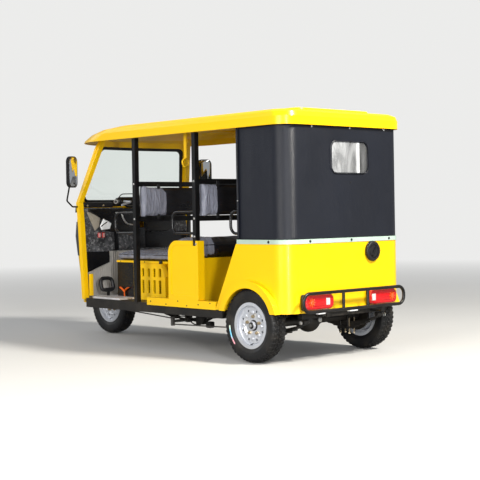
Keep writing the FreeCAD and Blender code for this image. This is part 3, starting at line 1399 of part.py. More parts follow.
def front_fork():
    """Fork legs and sliders with the axle, the yoke and the steering stem."""
    pieces = []
    for sign in (-1, 1):
        foot = V(FRONT_AXLE.x, sign * LEG_Y, FRONT_AXLE.z)
        slider_top = foot.add(STEER_UP * SLIDER_UP)
        pieces.append(rod(foot.sub(STEER_UP * SLIDER_LOW), slider_top, SLIDER_R))
        leg_top = foot.add(STEER_UP * (YOKE_UP + LEG_TOP))
        pieces.append(rod(slider_top.sub(STEER_UP * LEG_LAP), leg_top, LEG_R))
    pieces.append(cross_round(BOSS_R, (LEG_Y, LEG_Y + BOSS_OUT), FRONT_AXLE.x, FRONT_AXLE.z))
    pieces.append(cross_round(BOSS_R, (-LEG_Y - BOSS_OUT, -LEG_Y), FRONT_AXLE.x, FRONT_AXLE.z))
    pieces.append(cross_round(STUB_R, around(0, LEG_Y), FRONT_AXLE.x, FRONT_AXLE.z))
    yoke_low = FRONT_AXLE.add(STEER_UP * (YOKE_UP - YOKE_T / 2))
    offset = STEER_LOW.sub(FRONT_AXLE).dot(STEER_FORWARD)
    yoke = block(around(0, YOKE_LENGTH / 2), around(0, YOKE_HALF_W), (0, YOKE_T))
    yoke = yoke.makeFillet(YOKE_CORNER_R, [edge for edge in yoke.Edges if abs(edge.tangentAt(0).z) > 0.9])
    turn = FreeCAD.Rotation(STEER_FORWARD, ACROSS, STEER_UP)
    place = FreeCAD.Placement(yoke_low.add(STEER_FORWARD * (offset / 2)), turn)
    yoke.Placement = place.multiply(yoke.Placement)
    stem = rod(yoke_low.add(STEER_FORWARD * offset), STEER_TOP, STEM_R)
    return fuse(pieces + [yoke, stem])


def handlebar():
    """Bent bar with grips, levers and the clamp on top of the stem."""
    clamp = rod(STEER_TOP.add(STEER_UP * FIT), STEER_TOP.add(STEER_UP * CLAMP_H), CLAMP_R)
    rise = STEER_TOP.add(STEER_UP * BAR_RISE)
    grip_end = V(GRIP_X, GRIP_Y, GRIP_Z)
    shoulder = V(rise.x - CLAMP_R / 2, GRIP_Y - GRIP_LENGTH - CLAMP_R / 2, GRIP_Z + STEM_R / 2)
    inner = V(rise.x - STEM_R / 3, GRIP_Y * BAR_INNER_SHARE, rise.z + STEM_R / 3)
    bar = tube([tuple(rise), tuple(inner), tuple(shoulder), tuple(grip_end)], BAR_R, BAR_BEND_R)
    inward = shoulder.sub(grip_end).normalize()
    grip = rod(grip_end, grip_end.add(inward * GRIP_LENGTH), GRIP_R)
    perch = grip_end.add(inward * (GRIP_LENGTH + GRIP_R))
    switch = rod(perch, perch.add(inward * SWITCH_W), SWITCH_R)
    lever_start = perch.add(inward * (SWITCH_W / 3)).add(V(SWITCH_R / 3, 0, 0))
    lever = rod(lever_start, grip_end.add(V(LEVER_REACH, 0, 0)), LEVER_R)
    side = [bar, grip, switch, lever]
    return fuse([clamp] + side + [mirrored(piece) for piece in side])


def front_mudguard():
    """Curved guard over the front wheel with stays to the fork."""
    half = MUDGUARD_HALF_W
    inner = half - MUDGUARD_T
    lip_r = MUDGUARD_R - MUDGUARD_LIP
    outer_r = MUDGUARD_R + MUDGUARD_T
    profile = [(-half, lip_r), (-inner, lip_r), (-inner, MUDGUARD_R), (inner, MUDGUARD_R), (inner, lip_r),
               (half, lip_r), (half, outer_r), (-half, outer_r)]
    corners = [V(FRONT_AXLE.x + r, y, FRONT_AXLE.z) for y, r in profile]
    face = Part.Face(rounded_wire(corners, [0] * len(corners)))
    face.rotate(FRONT_AXLE, ACROSS, -MUDGUARD_FRONT_DEG)
    guard = face.revolve(FRONT_AXLE, V(0, -1, 0), MUDGUARD_BACK_DEG - MUDGUARD_FRONT_DEG)
    stays = []
    for sign in (-1, 1):
        at = V(FRONT_AXLE.x, sign * half, FRONT_AXLE.z).add(STEER_UP * (MUDGUARD_R - MUDGUARD_LIP / 2))
        stays.append(Part.makeCylinder(STAY_R, LEG_Y - LEG_R - half - FIT, at, V(0, sign, 0)))
    return fuse([guard] + stays)


def tyre(centre):
    """Balloon tyre: bead, sidewall, shoulder and crown."""
    half = TYRE_W / 2
    seat = RIM_W / 2 - RIM_WALL - FIT
    left = [(seat, BEAD_R + FIT, 0.0), (seat, FLANGE_R + BEAD_H, 0.0)]
    left += [(half - narrower, TYRE_R - lower, rounding) for narrower, lower, rounding in TYRE_SHOULDER]
    right = [(-y, r, rounding) for y, r, rounding in left[::-1]]
    rows = left + right
    return turned([(y, r) for y, r, rounding in rows], centre, [rounding for y, r, rounding in rows])


def rim(centre, out):
    """Pressed rim with its dished disc, hub and brake drum; out is +1 where the disc faces left."""
    half = RIM_W / 2
    wall = RIM_WALL
    well_r = BEAD_R - RIM_WELL
    seat_y = half * 0.5
    well_y = half * WELL_SHARE
    barrel = [(-half, FLANGE_R), (-half, BEAD_R - wall), (-seat_y, BEAD_R - wall), (-well_y, well_r),
              (well_y, well_r), (seat_y, BEAD_R - wall), (half, BEAD_R - wall), (half, FLANGE_R),
              (half - wall, FLANGE_R), (half - wall, BEAD_R), (seat_y, BEAD_R), (well_y, well_r + wall),
              (-well_y, well_r + wall), (-seat_y, BEAD_R), (wall - half, BEAD_R), (wall - half, FLANGE_R)]
    ring_in = DISC_IN + DISC_RISE
    disc_out = DISC_IN + DISC_T
    disc = [(wall / 2, well_r), (ring_in - DISC_LEAN, well_r - wall), (ring_in, DISC_RING_R),
            (DISC_IN, DISC_STEP_R), (DISC_IN, HUB_R - wall), (disc_out, HUB_R - wall),
            (disc_out, DISC_STEP_R - DISC_LEAN), (ring_in + DISC_T, DISC_RING_R - DISC_LEAN),
            (ring_in + wall, well_r + DISC_LEAN), (DISC_T + DISC_LEAN, well_r + wall),
            (wall / 2, well_r + wall)]
    bore = STUB_R + FIT
    drum_in = -DRUM_IN - DRUM_W
    inner_r = DRUM_R - DRUM_WALL
    drum = [(drum_in, DRUM_R), (drum_in, inner_r), (-DRUM_IN, inner_r), (-DRUM_IN, bore), (DISC_IN, bore),
            (DISC_IN, DRUM_WEB_R), (DRUM_WALL - DRUM_IN, DRUM_WEB_R), (DRUM_WALL - DRUM_IN, DRUM_R)]
    hub = [(DISC_IN, bore), (DISC_IN, HUB_R), (HUB_OUT - wall, HUB_R - wall), (HUB_OUT, HUB_R - 3 * wall),
           (HUB_OUT, bore)]
    solids = []
    for profile in (disc, barrel, drum, hub):
        flipped = [(out * y, r) for y, r in profile]
        solids.append(turned(flipped, centre, [0] * len(profile)))
    for i in range(HOLE_COUNT):
        angle = 2 * math.pi * (i + 0.5) / HOLE_COUNT
        x = centre.x + HOLE_CIRCLE_R * math.cos(angle)
        z = centre.z + HOLE_CIRCLE_R * math.sin(angle)
        solids[0] = solids[0].cut(cross_round(HOLE_R, around(centre.y, HUB_OUT), x, z))
    return fuse(solids)


def build():
    """Write every sub-part."""
    gasket, glass = windscreen()
    keep("chassis_frame", chassis_frame())
    keep("steering_head", steering_head())
    keep("rear_axle", rear_axle())
    keep("leaf_springs", leaf_springs())
    keep("brake_rods", brake_rods())
    keep("engine_block", engine_block())
    keep("drive_shaft", drive_shaft())
    keep("exhaust", exhaust())
    keep("floor_pan", floor_pan())
    keep("floor_mat", floor_mat())
    keep("sill_panels", sill_panels())
    keep("nose_shell", nose_shell())
    keep("nose_band", nose_band())
    keep("front_lamps", front_lamps())
    keep("dash_panel", dash_panel())
    keep("dash_cowls", dash_cowls())
    keep("front_lining", front_lining())
    keep("windscreen_frame", windscreen_frame())
    keep("windscreen_gasket", gasket)
    keep("windscreen_glass", glass)
    keep("roof_shell", roof_shell())
    keep("roof_bows", roof_bows())
    keep("posts", posts())
    keep("driver_seat_box", driver_seat_box())
    keep("driver_seat_pan", driver_seat_pan())
    keep("battery_box", battery_box())
    keep("driver_cushion", cushion(DRIVER_CUSHION_REAR_X, DRIVER_CUSHION_LENGTH, DRIVER_CUSHION_HALF_W,
                                   DRIVER_CUSHION_LOW_Z, CUSHION_H, CUSHION_R))
    keep("bench_box", bench_box())
    keep("bench_cushion", cushion(BENCH_REAR_X, BENCH_LENGTH, BENCH_HALF_W, BENCH_LOW_Z, BENCH_H, CUSHION_R))
    keep("backrest_frames", backrest_frames())
    keep("backrest_pads", backrest_pads())
    keep("armrest_loops", armrest_loops())
    keep("side_panels", side_panels())
    keep("rear_body", rear_body())
    keep("rear_bench_box", rear_bench_box())
    keep("rear_bench_cushion", cushion(REAR_BENCH_REAR_X, REAR_BENCH_LENGTH, REAR_BENCH_HALF_W,
                                       REAR_BENCH_LOW_Z, REAR_BENCH_H, REAR_BENCH_R))
    keep("rear_bench_backrest", cushion(BODY_REAR_X + BODY_WALL + REAR_BACK_GAP, REAR_BACK_T,
                                        REAR_BENCH_HALF_W - REAR_BACK_SIDE_GAP,
                                        REAR_BENCH_LOW_Z + REAR_BENCH_H + FIT, REAR_BACK_H, REAR_BENCH_R))
    keep("rear_curtain", rear_curtain())
    keep("rear_window", rear_window())
    keep("curtain_trim", curtain_trim())
    keep("rear_guard", rear_guard())
    keep("tail_lamps", tail_lamps())
    keep("fuel_cap", fuel_cap())
    keep("mirrors", mirrors())
    keep("grab_straps", grab_straps())
    keep("foot_controls", foot_controls())
    keep("front_fork", front_fork())
    keep("handlebar", handlebar())
    keep("front_mudguard", front_mudguard())
    # Wheels: name, axle centre, side that the disc faces
    wheels = [
        ("front", FRONT_AXLE, 1),
        ("rear_left", V(0, TRACK_HALF, AXLE_Z), 1),
        ("rear_right", V(0, -TRACK_HALF, AXLE_Z), -1),
    ]
    for name, centre, out in wheels:
        keep(name + "_tyre", tyre(centre))
        keep(name + "_rim", rim(centre, out))


os.makedirs("parts", exist_ok=True)
build()
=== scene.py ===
"""Looks of a three-wheeled canopy taxi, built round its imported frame.

Places are metres in the frame's own axes: +X forward, +Y to the vehicle's left, +Z up.
at() takes stations in metres ahead of the rear axle.
"""

import math

import bmesh
import bpy
from bpy.props import FloatProperty, FloatVectorProperty, IntProperty, PointerProperty
from mathutils import Matrix, Vector, noise
from mathutils.bvhtree import BVHTree


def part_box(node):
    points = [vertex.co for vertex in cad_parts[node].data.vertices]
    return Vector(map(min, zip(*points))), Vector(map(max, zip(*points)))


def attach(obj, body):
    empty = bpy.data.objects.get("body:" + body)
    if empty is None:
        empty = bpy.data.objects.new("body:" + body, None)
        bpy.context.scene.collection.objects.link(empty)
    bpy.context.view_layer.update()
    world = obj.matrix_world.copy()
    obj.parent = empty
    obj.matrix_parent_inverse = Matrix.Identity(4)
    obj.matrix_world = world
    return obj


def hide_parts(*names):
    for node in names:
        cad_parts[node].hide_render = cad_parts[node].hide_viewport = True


bl_info = {
    "name": "Canopy tricycle",
    "version": (1, 0, 0),
    "blender": (4, 5, 0),
    "location": "3D Viewport > Sidebar > Tricycle",
    "description": "Dresses the packed frame of a passenger tricycle with its finishes and soft parts",
    "category": "Object",
}

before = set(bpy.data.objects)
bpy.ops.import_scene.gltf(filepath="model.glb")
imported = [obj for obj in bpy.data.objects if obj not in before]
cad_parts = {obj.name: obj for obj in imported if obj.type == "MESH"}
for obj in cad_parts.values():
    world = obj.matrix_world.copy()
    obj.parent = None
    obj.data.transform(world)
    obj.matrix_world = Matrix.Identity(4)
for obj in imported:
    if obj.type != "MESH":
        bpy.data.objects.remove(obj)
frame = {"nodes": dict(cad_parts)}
NODES = frame["nodes"]

ALONG = Vector((1, 0, 0))
ACROSS = Vector((0, 1, 0))
UP = Vector((0, 0, 1))


def middle(node):
    """Centre of a node's box."""
    low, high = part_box(node)
    return (low + high) / 2


REAR_AXLE = middle("rear_left_rim")


def at(x, y, z):
    """Point at a station ahead of the rear axle."""
    return Vector((REAR_AXLE.x + x, y, z))


def tone(red, green, blue):
    """Colour given as a screen shows it, 0 to 255, turned into light values."""
    shares = [value / 255 for value in (red, green, blue)]
    return [share / 12.92 if share < 0.04 else ((share + 0.055) / 1.055) ** 2.4 for share in shares]


def colour_property(name, red, green, blue, description):
    """Colour setting for the panel."""
    return FloatVectorProperty(name=name, description=description, subtype="COLOR", size=3, min=0, max=1,
                               default=tone(red, green, blue))


def length_property(name, default, description):
    """Length setting for the panel."""
    return FloatProperty(name=name, description=description, default=default, min=0, unit="LENGTH",
                         precision=4)


class TricycleColours(bpy.types.PropertyGroup):
    """Colours of the finishes."""

    body: colour_property("Body", 255, 204, 6, "Gloss body paint")
    frame: colour_property("Frame", 11, 11, 12, "Satin black of posts, bars and guard")
    chassis: colour_property("Chassis", 15, 14, 14, "Black chassis paint under its dust")
    dust: colour_property("Dust", 140, 126, 104, "Road dust on the lower parts")
    rim: colour_property("Rims", 224, 228, 236, "Silver wheel paint")
    rubber: colour_property("Rubber", 15, 15, 17, "Tyres and gaskets")
    vinyl: colour_property("Seat vinyl", 19, 19, 24, "Upholstery")
    curtain: colour_property("Curtain", 22, 25, 34, "Rear curtain's vinyl")
    trim: colour_property("Trim", 166, 186, 173, "Strip that holds the curtain's foot")
    mat: colour_property("Mat", 214, 212, 212, "Driver's mat")
    wrap: colour_property("Wrap", 176, 180, 198, "Clear film left on the upholstery")
    red_lens: colour_property("Red lens", 232, 22, 28, "Tail lamp")
    orange_lens: colour_property("Orange lens", 246, 98, 20, "Turn signals")
    webbing: colour_property("Webbing", 255, 204, 10, "Hand straps")


class TricycleSizes(bpy.types.PropertyGroup):
    """Sizes of what the looks add."""

    lug_height: length_property("Lug height", 0.009, "Height of the tread's blocks")
    lug_count: IntProperty(name="Tread pitches", description="Rows of tread blocks round a tyre", default=46,
                           min=12)
    seat_voxel: length_property("Seat grain", 0.012, "Cell of a cushion's mesh before it is stuffed")
    pad_voxel: length_property("Pad grain", 0.010, "Cell of a backrest's mesh before it is stuffed")
    seat_swell: length_property("Seat swell", 0.026, "Most that a seat's skin may move")
    pad_swell: length_property("Pad swell", 0.018, "Most that a backrest's skin may move")
    piping: length_property("Piping", 0.0045, "Radius of the welt round a cushion")
    fold_depth: length_property("Curtain folds", 0.0022, "Depth of the curtain's soft folds")


def link(thing):
    """Put an object in the scene."""
    bpy.context.scene.collection.objects.link(thing)
    return thing


class Finish:
    """One procedural material and the steps that its recipes share."""

    def __init__(self, name):
        self.material = bpy.data.materials.new(name)
        self.material.use_nodes = True
        self.tree = self.material.node_tree
        self.shader = self.tree.nodes["Principled BSDF"]
        self.place = self.tree.nodes.new("ShaderNodeTexCoord").outputs["Object"]
        self.relief = None

    def node(self, kind, values=(), **settings):
        """Node with its settings, and values for its sockets by name or number."""
        made = self.tree.nodes.new(kind)
        for name, value in settings.items():
            setattr(made, name, value)
        for name, value in values:
            self.feed(made.inputs[name], value)
        return made

    def feed(self, socket, value):
        """Set a socket, or link it where the value comes from another node."""
        if isinstance(value, bpy.types.NodeSocket):
            self.tree.links.new(value, socket)
        else:
            socket.default_value = value

    def stretched(self, stretch):
        """Object coordinates, finer along the axes with the larger numbers."""
        mapping = self.node("ShaderNodeMapping", [("Vector", self.place), ("Scale", stretch)])
        return mapping.outputs["Vector"]

    def noise(self, scale, detail=3.0, stretch=None, roughness=0.5, distortion=0.0):
        """Fractal noise from 0 to 1."""
        place = self.stretched(stretch) if stretch else self.place
        made = self.node("ShaderNodeTexNoise", [("Vector", place), ("Scale", scale), ("Detail", detail),
                                                ("Roughness", roughness), ("Distortion", distortion)])
        return made.outputs["Fac"]

    def cells(self, scale):
        """Distance to the nearest grain."""
        made = self.node("ShaderNodeTexVoronoi", [("Vector", self.place), ("Scale", scale)])
        return made.outputs["Distance"]

    def waves(self, scale, direction):
        """Even bands along one axis."""
        made = self.node("ShaderNodeTexWave", [("Vector", self.place), ("Scale", scale)],
                         bands_direction=direction)
        return made.outputs["Fac"]

    def span(self, value, low, high, start=0.0, end=1.0):
        """Value between low and high turned into start to end, held at both ends."""
        made = self.node("ShaderNodeMapRange", [("Value", value), ("From Min", low), ("From Max", high),
                                                ("To Min", start), ("To Max", end)])
        return made.outputs["Result"]

    def times(self, a, b):
        """Product of two values."""
        return self.node("ShaderNodeMath", [(0, a), (1, b)], operation="MULTIPLY").outputs[0]

    def mix(self, share, a, b):
        """Colour between two colours."""
        values = [(0, share), (6, self.opaque(a)), (7, self.opaque(b))]
        return self.node("ShaderNodeMix", values, data_type="RGBA").outputs[2]

    @staticmethod
    def opaque(colour):
        """Colour with its fourth value, where it is a plain one."""
        if isinstance(colour, bpy.types.NodeSocket):
            return colour
        return (*colour[:3], 1.0)

    def height(self):
        """Height above the ground."""
        parts = self.node("ShaderNodeSeparateXYZ", [(0, self.place)])
        return parts.outputs["Z"]

    def across(self):
        """Distance to the left of the middle."""
        parts = self.node("ShaderNodeSeparateXYZ", [(0, self.place)])
        return parts.outputs["Y"]

    def dusty(self, colour, dust, top, amount):
        """Colour with road dust that thins out towards a height."""
        fade = self.span(self.height(), 0.02, top, amount, 0.0)
        patches = self.span(self.noise(7.0, 5.0), 0.3, 0.7)
        return self.mix(self.times(fade, patches), colour, dust)

    def bump(self, value, depth):
        """Relief laid over what is there."""
        values = [("Height", value), ("Distance", depth)]
        if self.relief is not None:
            values.append(("Normal", self.relief))
        self.relief = self.node("ShaderNodeBump", values).outputs["Normal"]
        self.tree.links.new(self.relief, self.shader.inputs["Normal"])

    def done(self, colour, roughness, **plain):
        """Feed the shader and hand over the material; plain values are the same all over."""
        self.feed(self.shader.inputs["Base Color"], self.opaque(colour))
        self.feed(self.shader.inputs["Roughness"], roughness)
        for name, value in plain.items():
            self.shader.inputs[name.replace("_", " ").title().replace("Ior", "IOR")].default_value = value
        return self.material


def gloss_paint(name, colour, dust):
    """Sprayed gloss paint: slight orange peel, a shade deeper in patches, dusty low down."""
    finish = Finish(name)
    deeper = [value * 0.96 for value in colour]
    patchy = finish.mix(finish.span(finish.noise(1.6, 3.0), 0.35, 0.65), colour, deeper)
    low = finish.dusty(patchy, dust, 0.55, 0.16)
    finish.bump(finish.noise(170.0, 2.0), 0.0001)
    finish.bump(finish.noise(3.0, 1.0), 0.0002)
    roughness = finish.span(finish.noise(9.0, 4.0), 0.3, 0.7, 0.30, 0.38)
    return finish.done(low, roughness, coat_weight=0.12, coat_roughness=0.12, specular_ior_level=0.35)


def satin_paint(name, colour, dust, roughness, dust_amount):
    """Brushed-on black paint with fine grain and dust."""
    finish = Finish(name)
    lighter = [value * 1.8 + 0.004 for value in colour]
    worn = finish.mix(finish.span(finish.noise(24.0, 6.0, roughness=0.7), 0.52, 0.75), colour, lighter)
    low = finish.dusty(worn, dust, 0.75, dust_amount)
    finish.bump(finish.noise(90.0, 4.0), 0.0005)
    rough = finish.span(finish.noise(16.0, 4.0), 0.3, 0.7, roughness - 0.07, roughness + 0.1)
    return finish.done(low, rough)


def bare_metal(name, colour, roughness, dust, dust_amount):
    """Cast or drawn metal, scuffed and dusty."""
    finish = Finish(name)
    darker = [value * 0.55 for value in colour]
    scuffed = finish.mix(finish.span(finish.noise(30.0, 6.0, roughness=0.7), 0.4, 0.7), colour, darker)
    low = finish.dusty(scuffed, dust, 0.6, dust_amount)
    finish.bump(finish.noise(140.0, 4.0), 0.0004)
    rough = finish.span(finish.noise(22.0, 4.0), 0.3, 0.7, roughness - 0.08, roughness + 0.12)
    return finish.done(low, rough, metallic=0.85)


def silver_paint(name, colour, dust):
    """Metallic silver wheel paint."""
    finish = Finish(name)
    flake = finish.mix(finish.cells(900.0), colour, [value * 0.82 for value in colour])
    low = finish.dusty(flake, dust, 0.5, 0.22)
    finish.bump(finish.noise(60.0, 3.0), 0.0004)
    return finish.done(low, finish.span(finish.noise(14.0, 4.0), 0.3, 0.7, 0.30, 0.44), metallic=0.45)


def tyre_rubber(name, colour, dust):
    """Matte rubber with fine moulding grain and pale scuffs."""
    finish = Finish(name)
    scuffs = finish.span(finish.noise(38.0, 6.0, roughness=0.75), 0.55, 0.8, 0.0, 0.25)
    base = finish.mix(scuffs, colour, [value * 2.6 + 0.01 for value in colour])
    low = finish.mix(finish.span(finish.noise(11.0, 5.0), 0.45, 0.75, 0.0, 0.07), base, dust)
    finish.bump(finish.noise(260.0, 4.0), 0.0005)
    return finish.done(low, finish.span(finish.noise(18.0, 3.0), 0.3, 0.7, 0.42, 0.62))


def plain_rubber(name, colour):
    """Black gasket and grip rubber."""
    finish = Finish(name)
    base = finish.mix(finish.noise(40.0, 4.0), colour, [value * 1.7 for value in colour])
    finish.bump(finish.noise(300.0, 3.0), 0.0003)
    return finish.done(base, finish.span(finish.noise(20.0), 0.3, 0.7, 0.45, 0.6))


def moulded_plastic(name, colour, grain, roughness):
    """Moulded plastic with a fine pebble grain."""
    finish = Finish(name)
    base = finish.mix(finish.noise(6.0, 4.0), colour, [value * 1.35 + 0.002 for value in colour])
    finish.bump(finish.cells(grain), 0.0003)
    return finish.done(base, finish.span(finish.noise(12.0), 0.3, 0.7, roughness - 0.06, roughness + 0.08))


def marbled_board(name):
    """Dark grey dashboard board with pale flecks and streaks."""
    finish = Finish(name)
    streaks = finish.span(finish.noise(9.0, 6.0, distortion=1.4), 0.35, 0.7)
    cloud = finish.mix(streaks, tone(34, 35, 38), tone(86, 87, 90))
    flecks = finish.span(finish.noise(44.0, 8.0, roughness=0.75), 0.52, 0.62)
    pattern = finish.mix(finish.times(flecks, 0.7), cloud, tone(168, 168, 170))
    finish.bump(finish.noise(120.0, 4.0), 0.0005)
    return finish.done(pattern, finish.span(finish.noise(10.0), 0.3, 0.7, 0.3, 0.45))


def seat_vinyl(name, colour):
    """Black upholstery vinyl: pebble grain, pull wrinkles and a soft shine."""
    finish = Finish(name)
    patches = finish.span(finish.noise(5.0, 4.0), 0.3, 0.7)
    base = finish.mix(patches, colour, [value * 1.7 + 0.003 for value in colour])
    finish.bump(finish.cells(420.0), 0.0004)
    finish.bump(finish.noise(9.0, 4.0, stretch=(1.0, 0.35, 1.6), distortion=1.2), 0.010)
    return finish.done(base, finish.span(finish.noise(8.0), 0.3, 0.7, 0.26, 0.42))


def curtain_vinyl(name, colour):
    """Charcoal curtain vinyl with a fine weave under the skin and soft vertical pulls."""
    finish = Finish(name)
    patches = finish.span(finish.noise(2.2, 5.0, stretch=(1.0, 1.0, 0.45)), 0.3, 0.7)
    base = finish.mix(patches, [value * 0.86 for value in colour], [value * 1.22 for value in colour])
    finish.bump(finish.waves(260.0, "Z"), 0.0002)
    finish.bump(finish.noise(5.0, 3.0, stretch=(1.0, 1.0, 0.3)), 0.004)
    roughness = finish.span(finish.noise(7.0, 4.0), 0.3, 0.7, 0.34, 0.40)
    return finish.done(base, roughness, specular_ior_level=0.42)


def clear_film(name, colour, alpha, crinkle):
    """Thin clear plastic with bright crinkles."""
    finish = Finish(name)
    streaks = finish.span(finish.noise(14.0, 5.0, stretch=(1.0, 1.0, 0.25), distortion=1.5), 0.4, 0.7)
    base = finish.mix(streaks, [value * 0.75 for value in colour], colour)
    finish.bump(finish.noise(26.0, 4.0, stretch=(1.0, 1.0, 0.3), distortion=2.2), crinkle)
    roughness = finish.span(finish.noise(12.0), 0.3, 0.7, 0.10, 0.22)
    return finish.done(base, roughness, alpha=alpha, specular_ior_level=0.8)


def window_film(name, colour):
    """Curtain's window: clear at its right, then a bright fold, then milky along its creases."""
    finish = Finish(name)
    creases = finish.noise(6.0, 5.0, stretch=(1.0, 1.0, 0.32), roughness=0.6, distortion=1.4)
    milky = finish.span(creases, 0.42, 0.66)
    across = finish.across()
    loose = finish.span(across, -0.162, -0.152, 0.12, 1.0)
    fold = finish.times(loose, finish.span(across, -0.120, -0.132))
    clouded = finish.span(milky, 0.0, 1.0, 0.55, 0.85)
    more = finish.node("ShaderNodeMath", [(0, fold), (1, finish.times(loose, clouded))], operation="MAXIMUM")
    finish.feed(finish.shader.inputs["Alpha"], more.outputs[0])
    finish.bump(creases, 0.010)
    grey = finish.mix(milky, [value * 0.28 for value in colour], [value * 0.8 for value in colour])
    base = finish.mix(fold, grey, colour)
    return finish.done(base, finish.span(finish.noise(12.0), 0.3, 0.7, 0.10, 0.20), specular_ior_level=0.8)


def tyre_label(name):
    """Coloured moulding mark: mint at its upper end, then pale blue, then pink."""
    finish = Finish(name)
    height = finish.height()
    upper = finish.mix(finish.span(height, 0.225, 0.255), tone(120, 205, 235), tone(226, 244, 222))
    whole = finish.mix(finish.span(height, 0.160, 0.190), tone(240, 168, 176), upper)
    finish.bump(finish.noise(300.0, 3.0), 0.0003)
    return finish.done(whole, finish.span(finish.noise(40.0), 0.3, 0.7, 0.4, 0.55))


def window_glass(name):
    """Clear safety glass with a faint green edge."""
    finish = Finish(name)
    finish.bump(finish.noise(1.5, 1.0), 0.0004)
    tint = finish.mix(finish.noise(2.0), (0.86, 0.93, 0.9), (0.9, 0.95, 0.93))
    roughness = finish.span(finish.noise(6.0), 0.3, 0.7, 0.02, 0.05)
    return finish.done(tint, roughness, transmission_weight=1.0, ior=1.45)


def lens_plastic(name, colour, ribs, direction="Z"):
    """Coloured lamp lens with fine optic ribs."""
    finish = Finish(name)
    base = finish.mix(finish.noise(30.0), colour, [value * 0.7 for value in colour])
    finish.bump(finish.waves(ribs, direction), 0.0012)
    return finish.done(base, finish.span(finish.noise(20.0), 0.3, 0.7, 0.08, 0.16), coat_weight=0.6,
                       coat_roughness=0.05)


def ribbed_mat(name, colour, dust):
    """Grey floor mat with raised ribs and a scuffed sheen."""
    finish = Finish(name)
    scuffs = finish.span(finish.noise(12.0, 6.0), 0.35, 0.65)
    base = finish.mix(scuffs, colour, [value * 0.8 for value in colour])
    low = finish.mix(finish.span(finish.noise(5.0, 4.0), 0.5, 0.75, 0.0, 0.15), base, dust)
    finish.bump(finish.waves(28.0, "Y"), 0.0015)
    return finish.done(low, finish.span(finish.noise(9.0), 0.3, 0.7, 0.3, 0.5))


def woven_strap(name, colour):
    """Webbing with a ribbed weave."""
    finish = Finish(name)
    base = finish.mix(finish.noise(60.0, 4.0), colour, [value * 0.75 for value in colour])
    finish.bump(finish.waves(330.0, "Z"), 0.0002)
    finish.bump(finish.cells(500.0), 0.0001)
    return finish.done(base, finish.span(finish.noise(14.0), 0.3, 0.7, 0.5, 0.7))


def pale_plaster(name, colour):
    """Stage floor: pale to the camera, darker to the rest, and the backdrop's brightness far out."""
    finish = Finish(name)
    seen = finish.node("ShaderNodeLightPath").outputs["Is Camera Ray"]
    pale = finish.mix(finish.noise(1.2, 5.0), colour, [value * 0.96 for value in colour])
    made = finish.done(finish.mix(seen, [value * 0.4 for value in colour], pale), 0.9)
    tree = finish.tree
    glow = finish.node("ShaderNodeEmission", [("Color", (*BACKDROP, 1.0)), ("Strength", 1.0)])
    far = finish.node("ShaderNodeVectorMath", [(0, finish.place)], operation="LENGTH").outputs["Value"]
    share = finish.times(finish.span(far, 4.5, 16.0), seen)
    shaders = [(1, finish.shader.outputs[0]), (2, glow.outputs[0])]
    blend = finish.node("ShaderNodeMixShader", [(0, share)] + shaders)
    tree.links.new(blend.outputs[0], tree.nodes["Material Output"].inputs["Surface"])
    return made


BACKDROP = (0.84, 0.84, 0.83)
FINISHES = {}


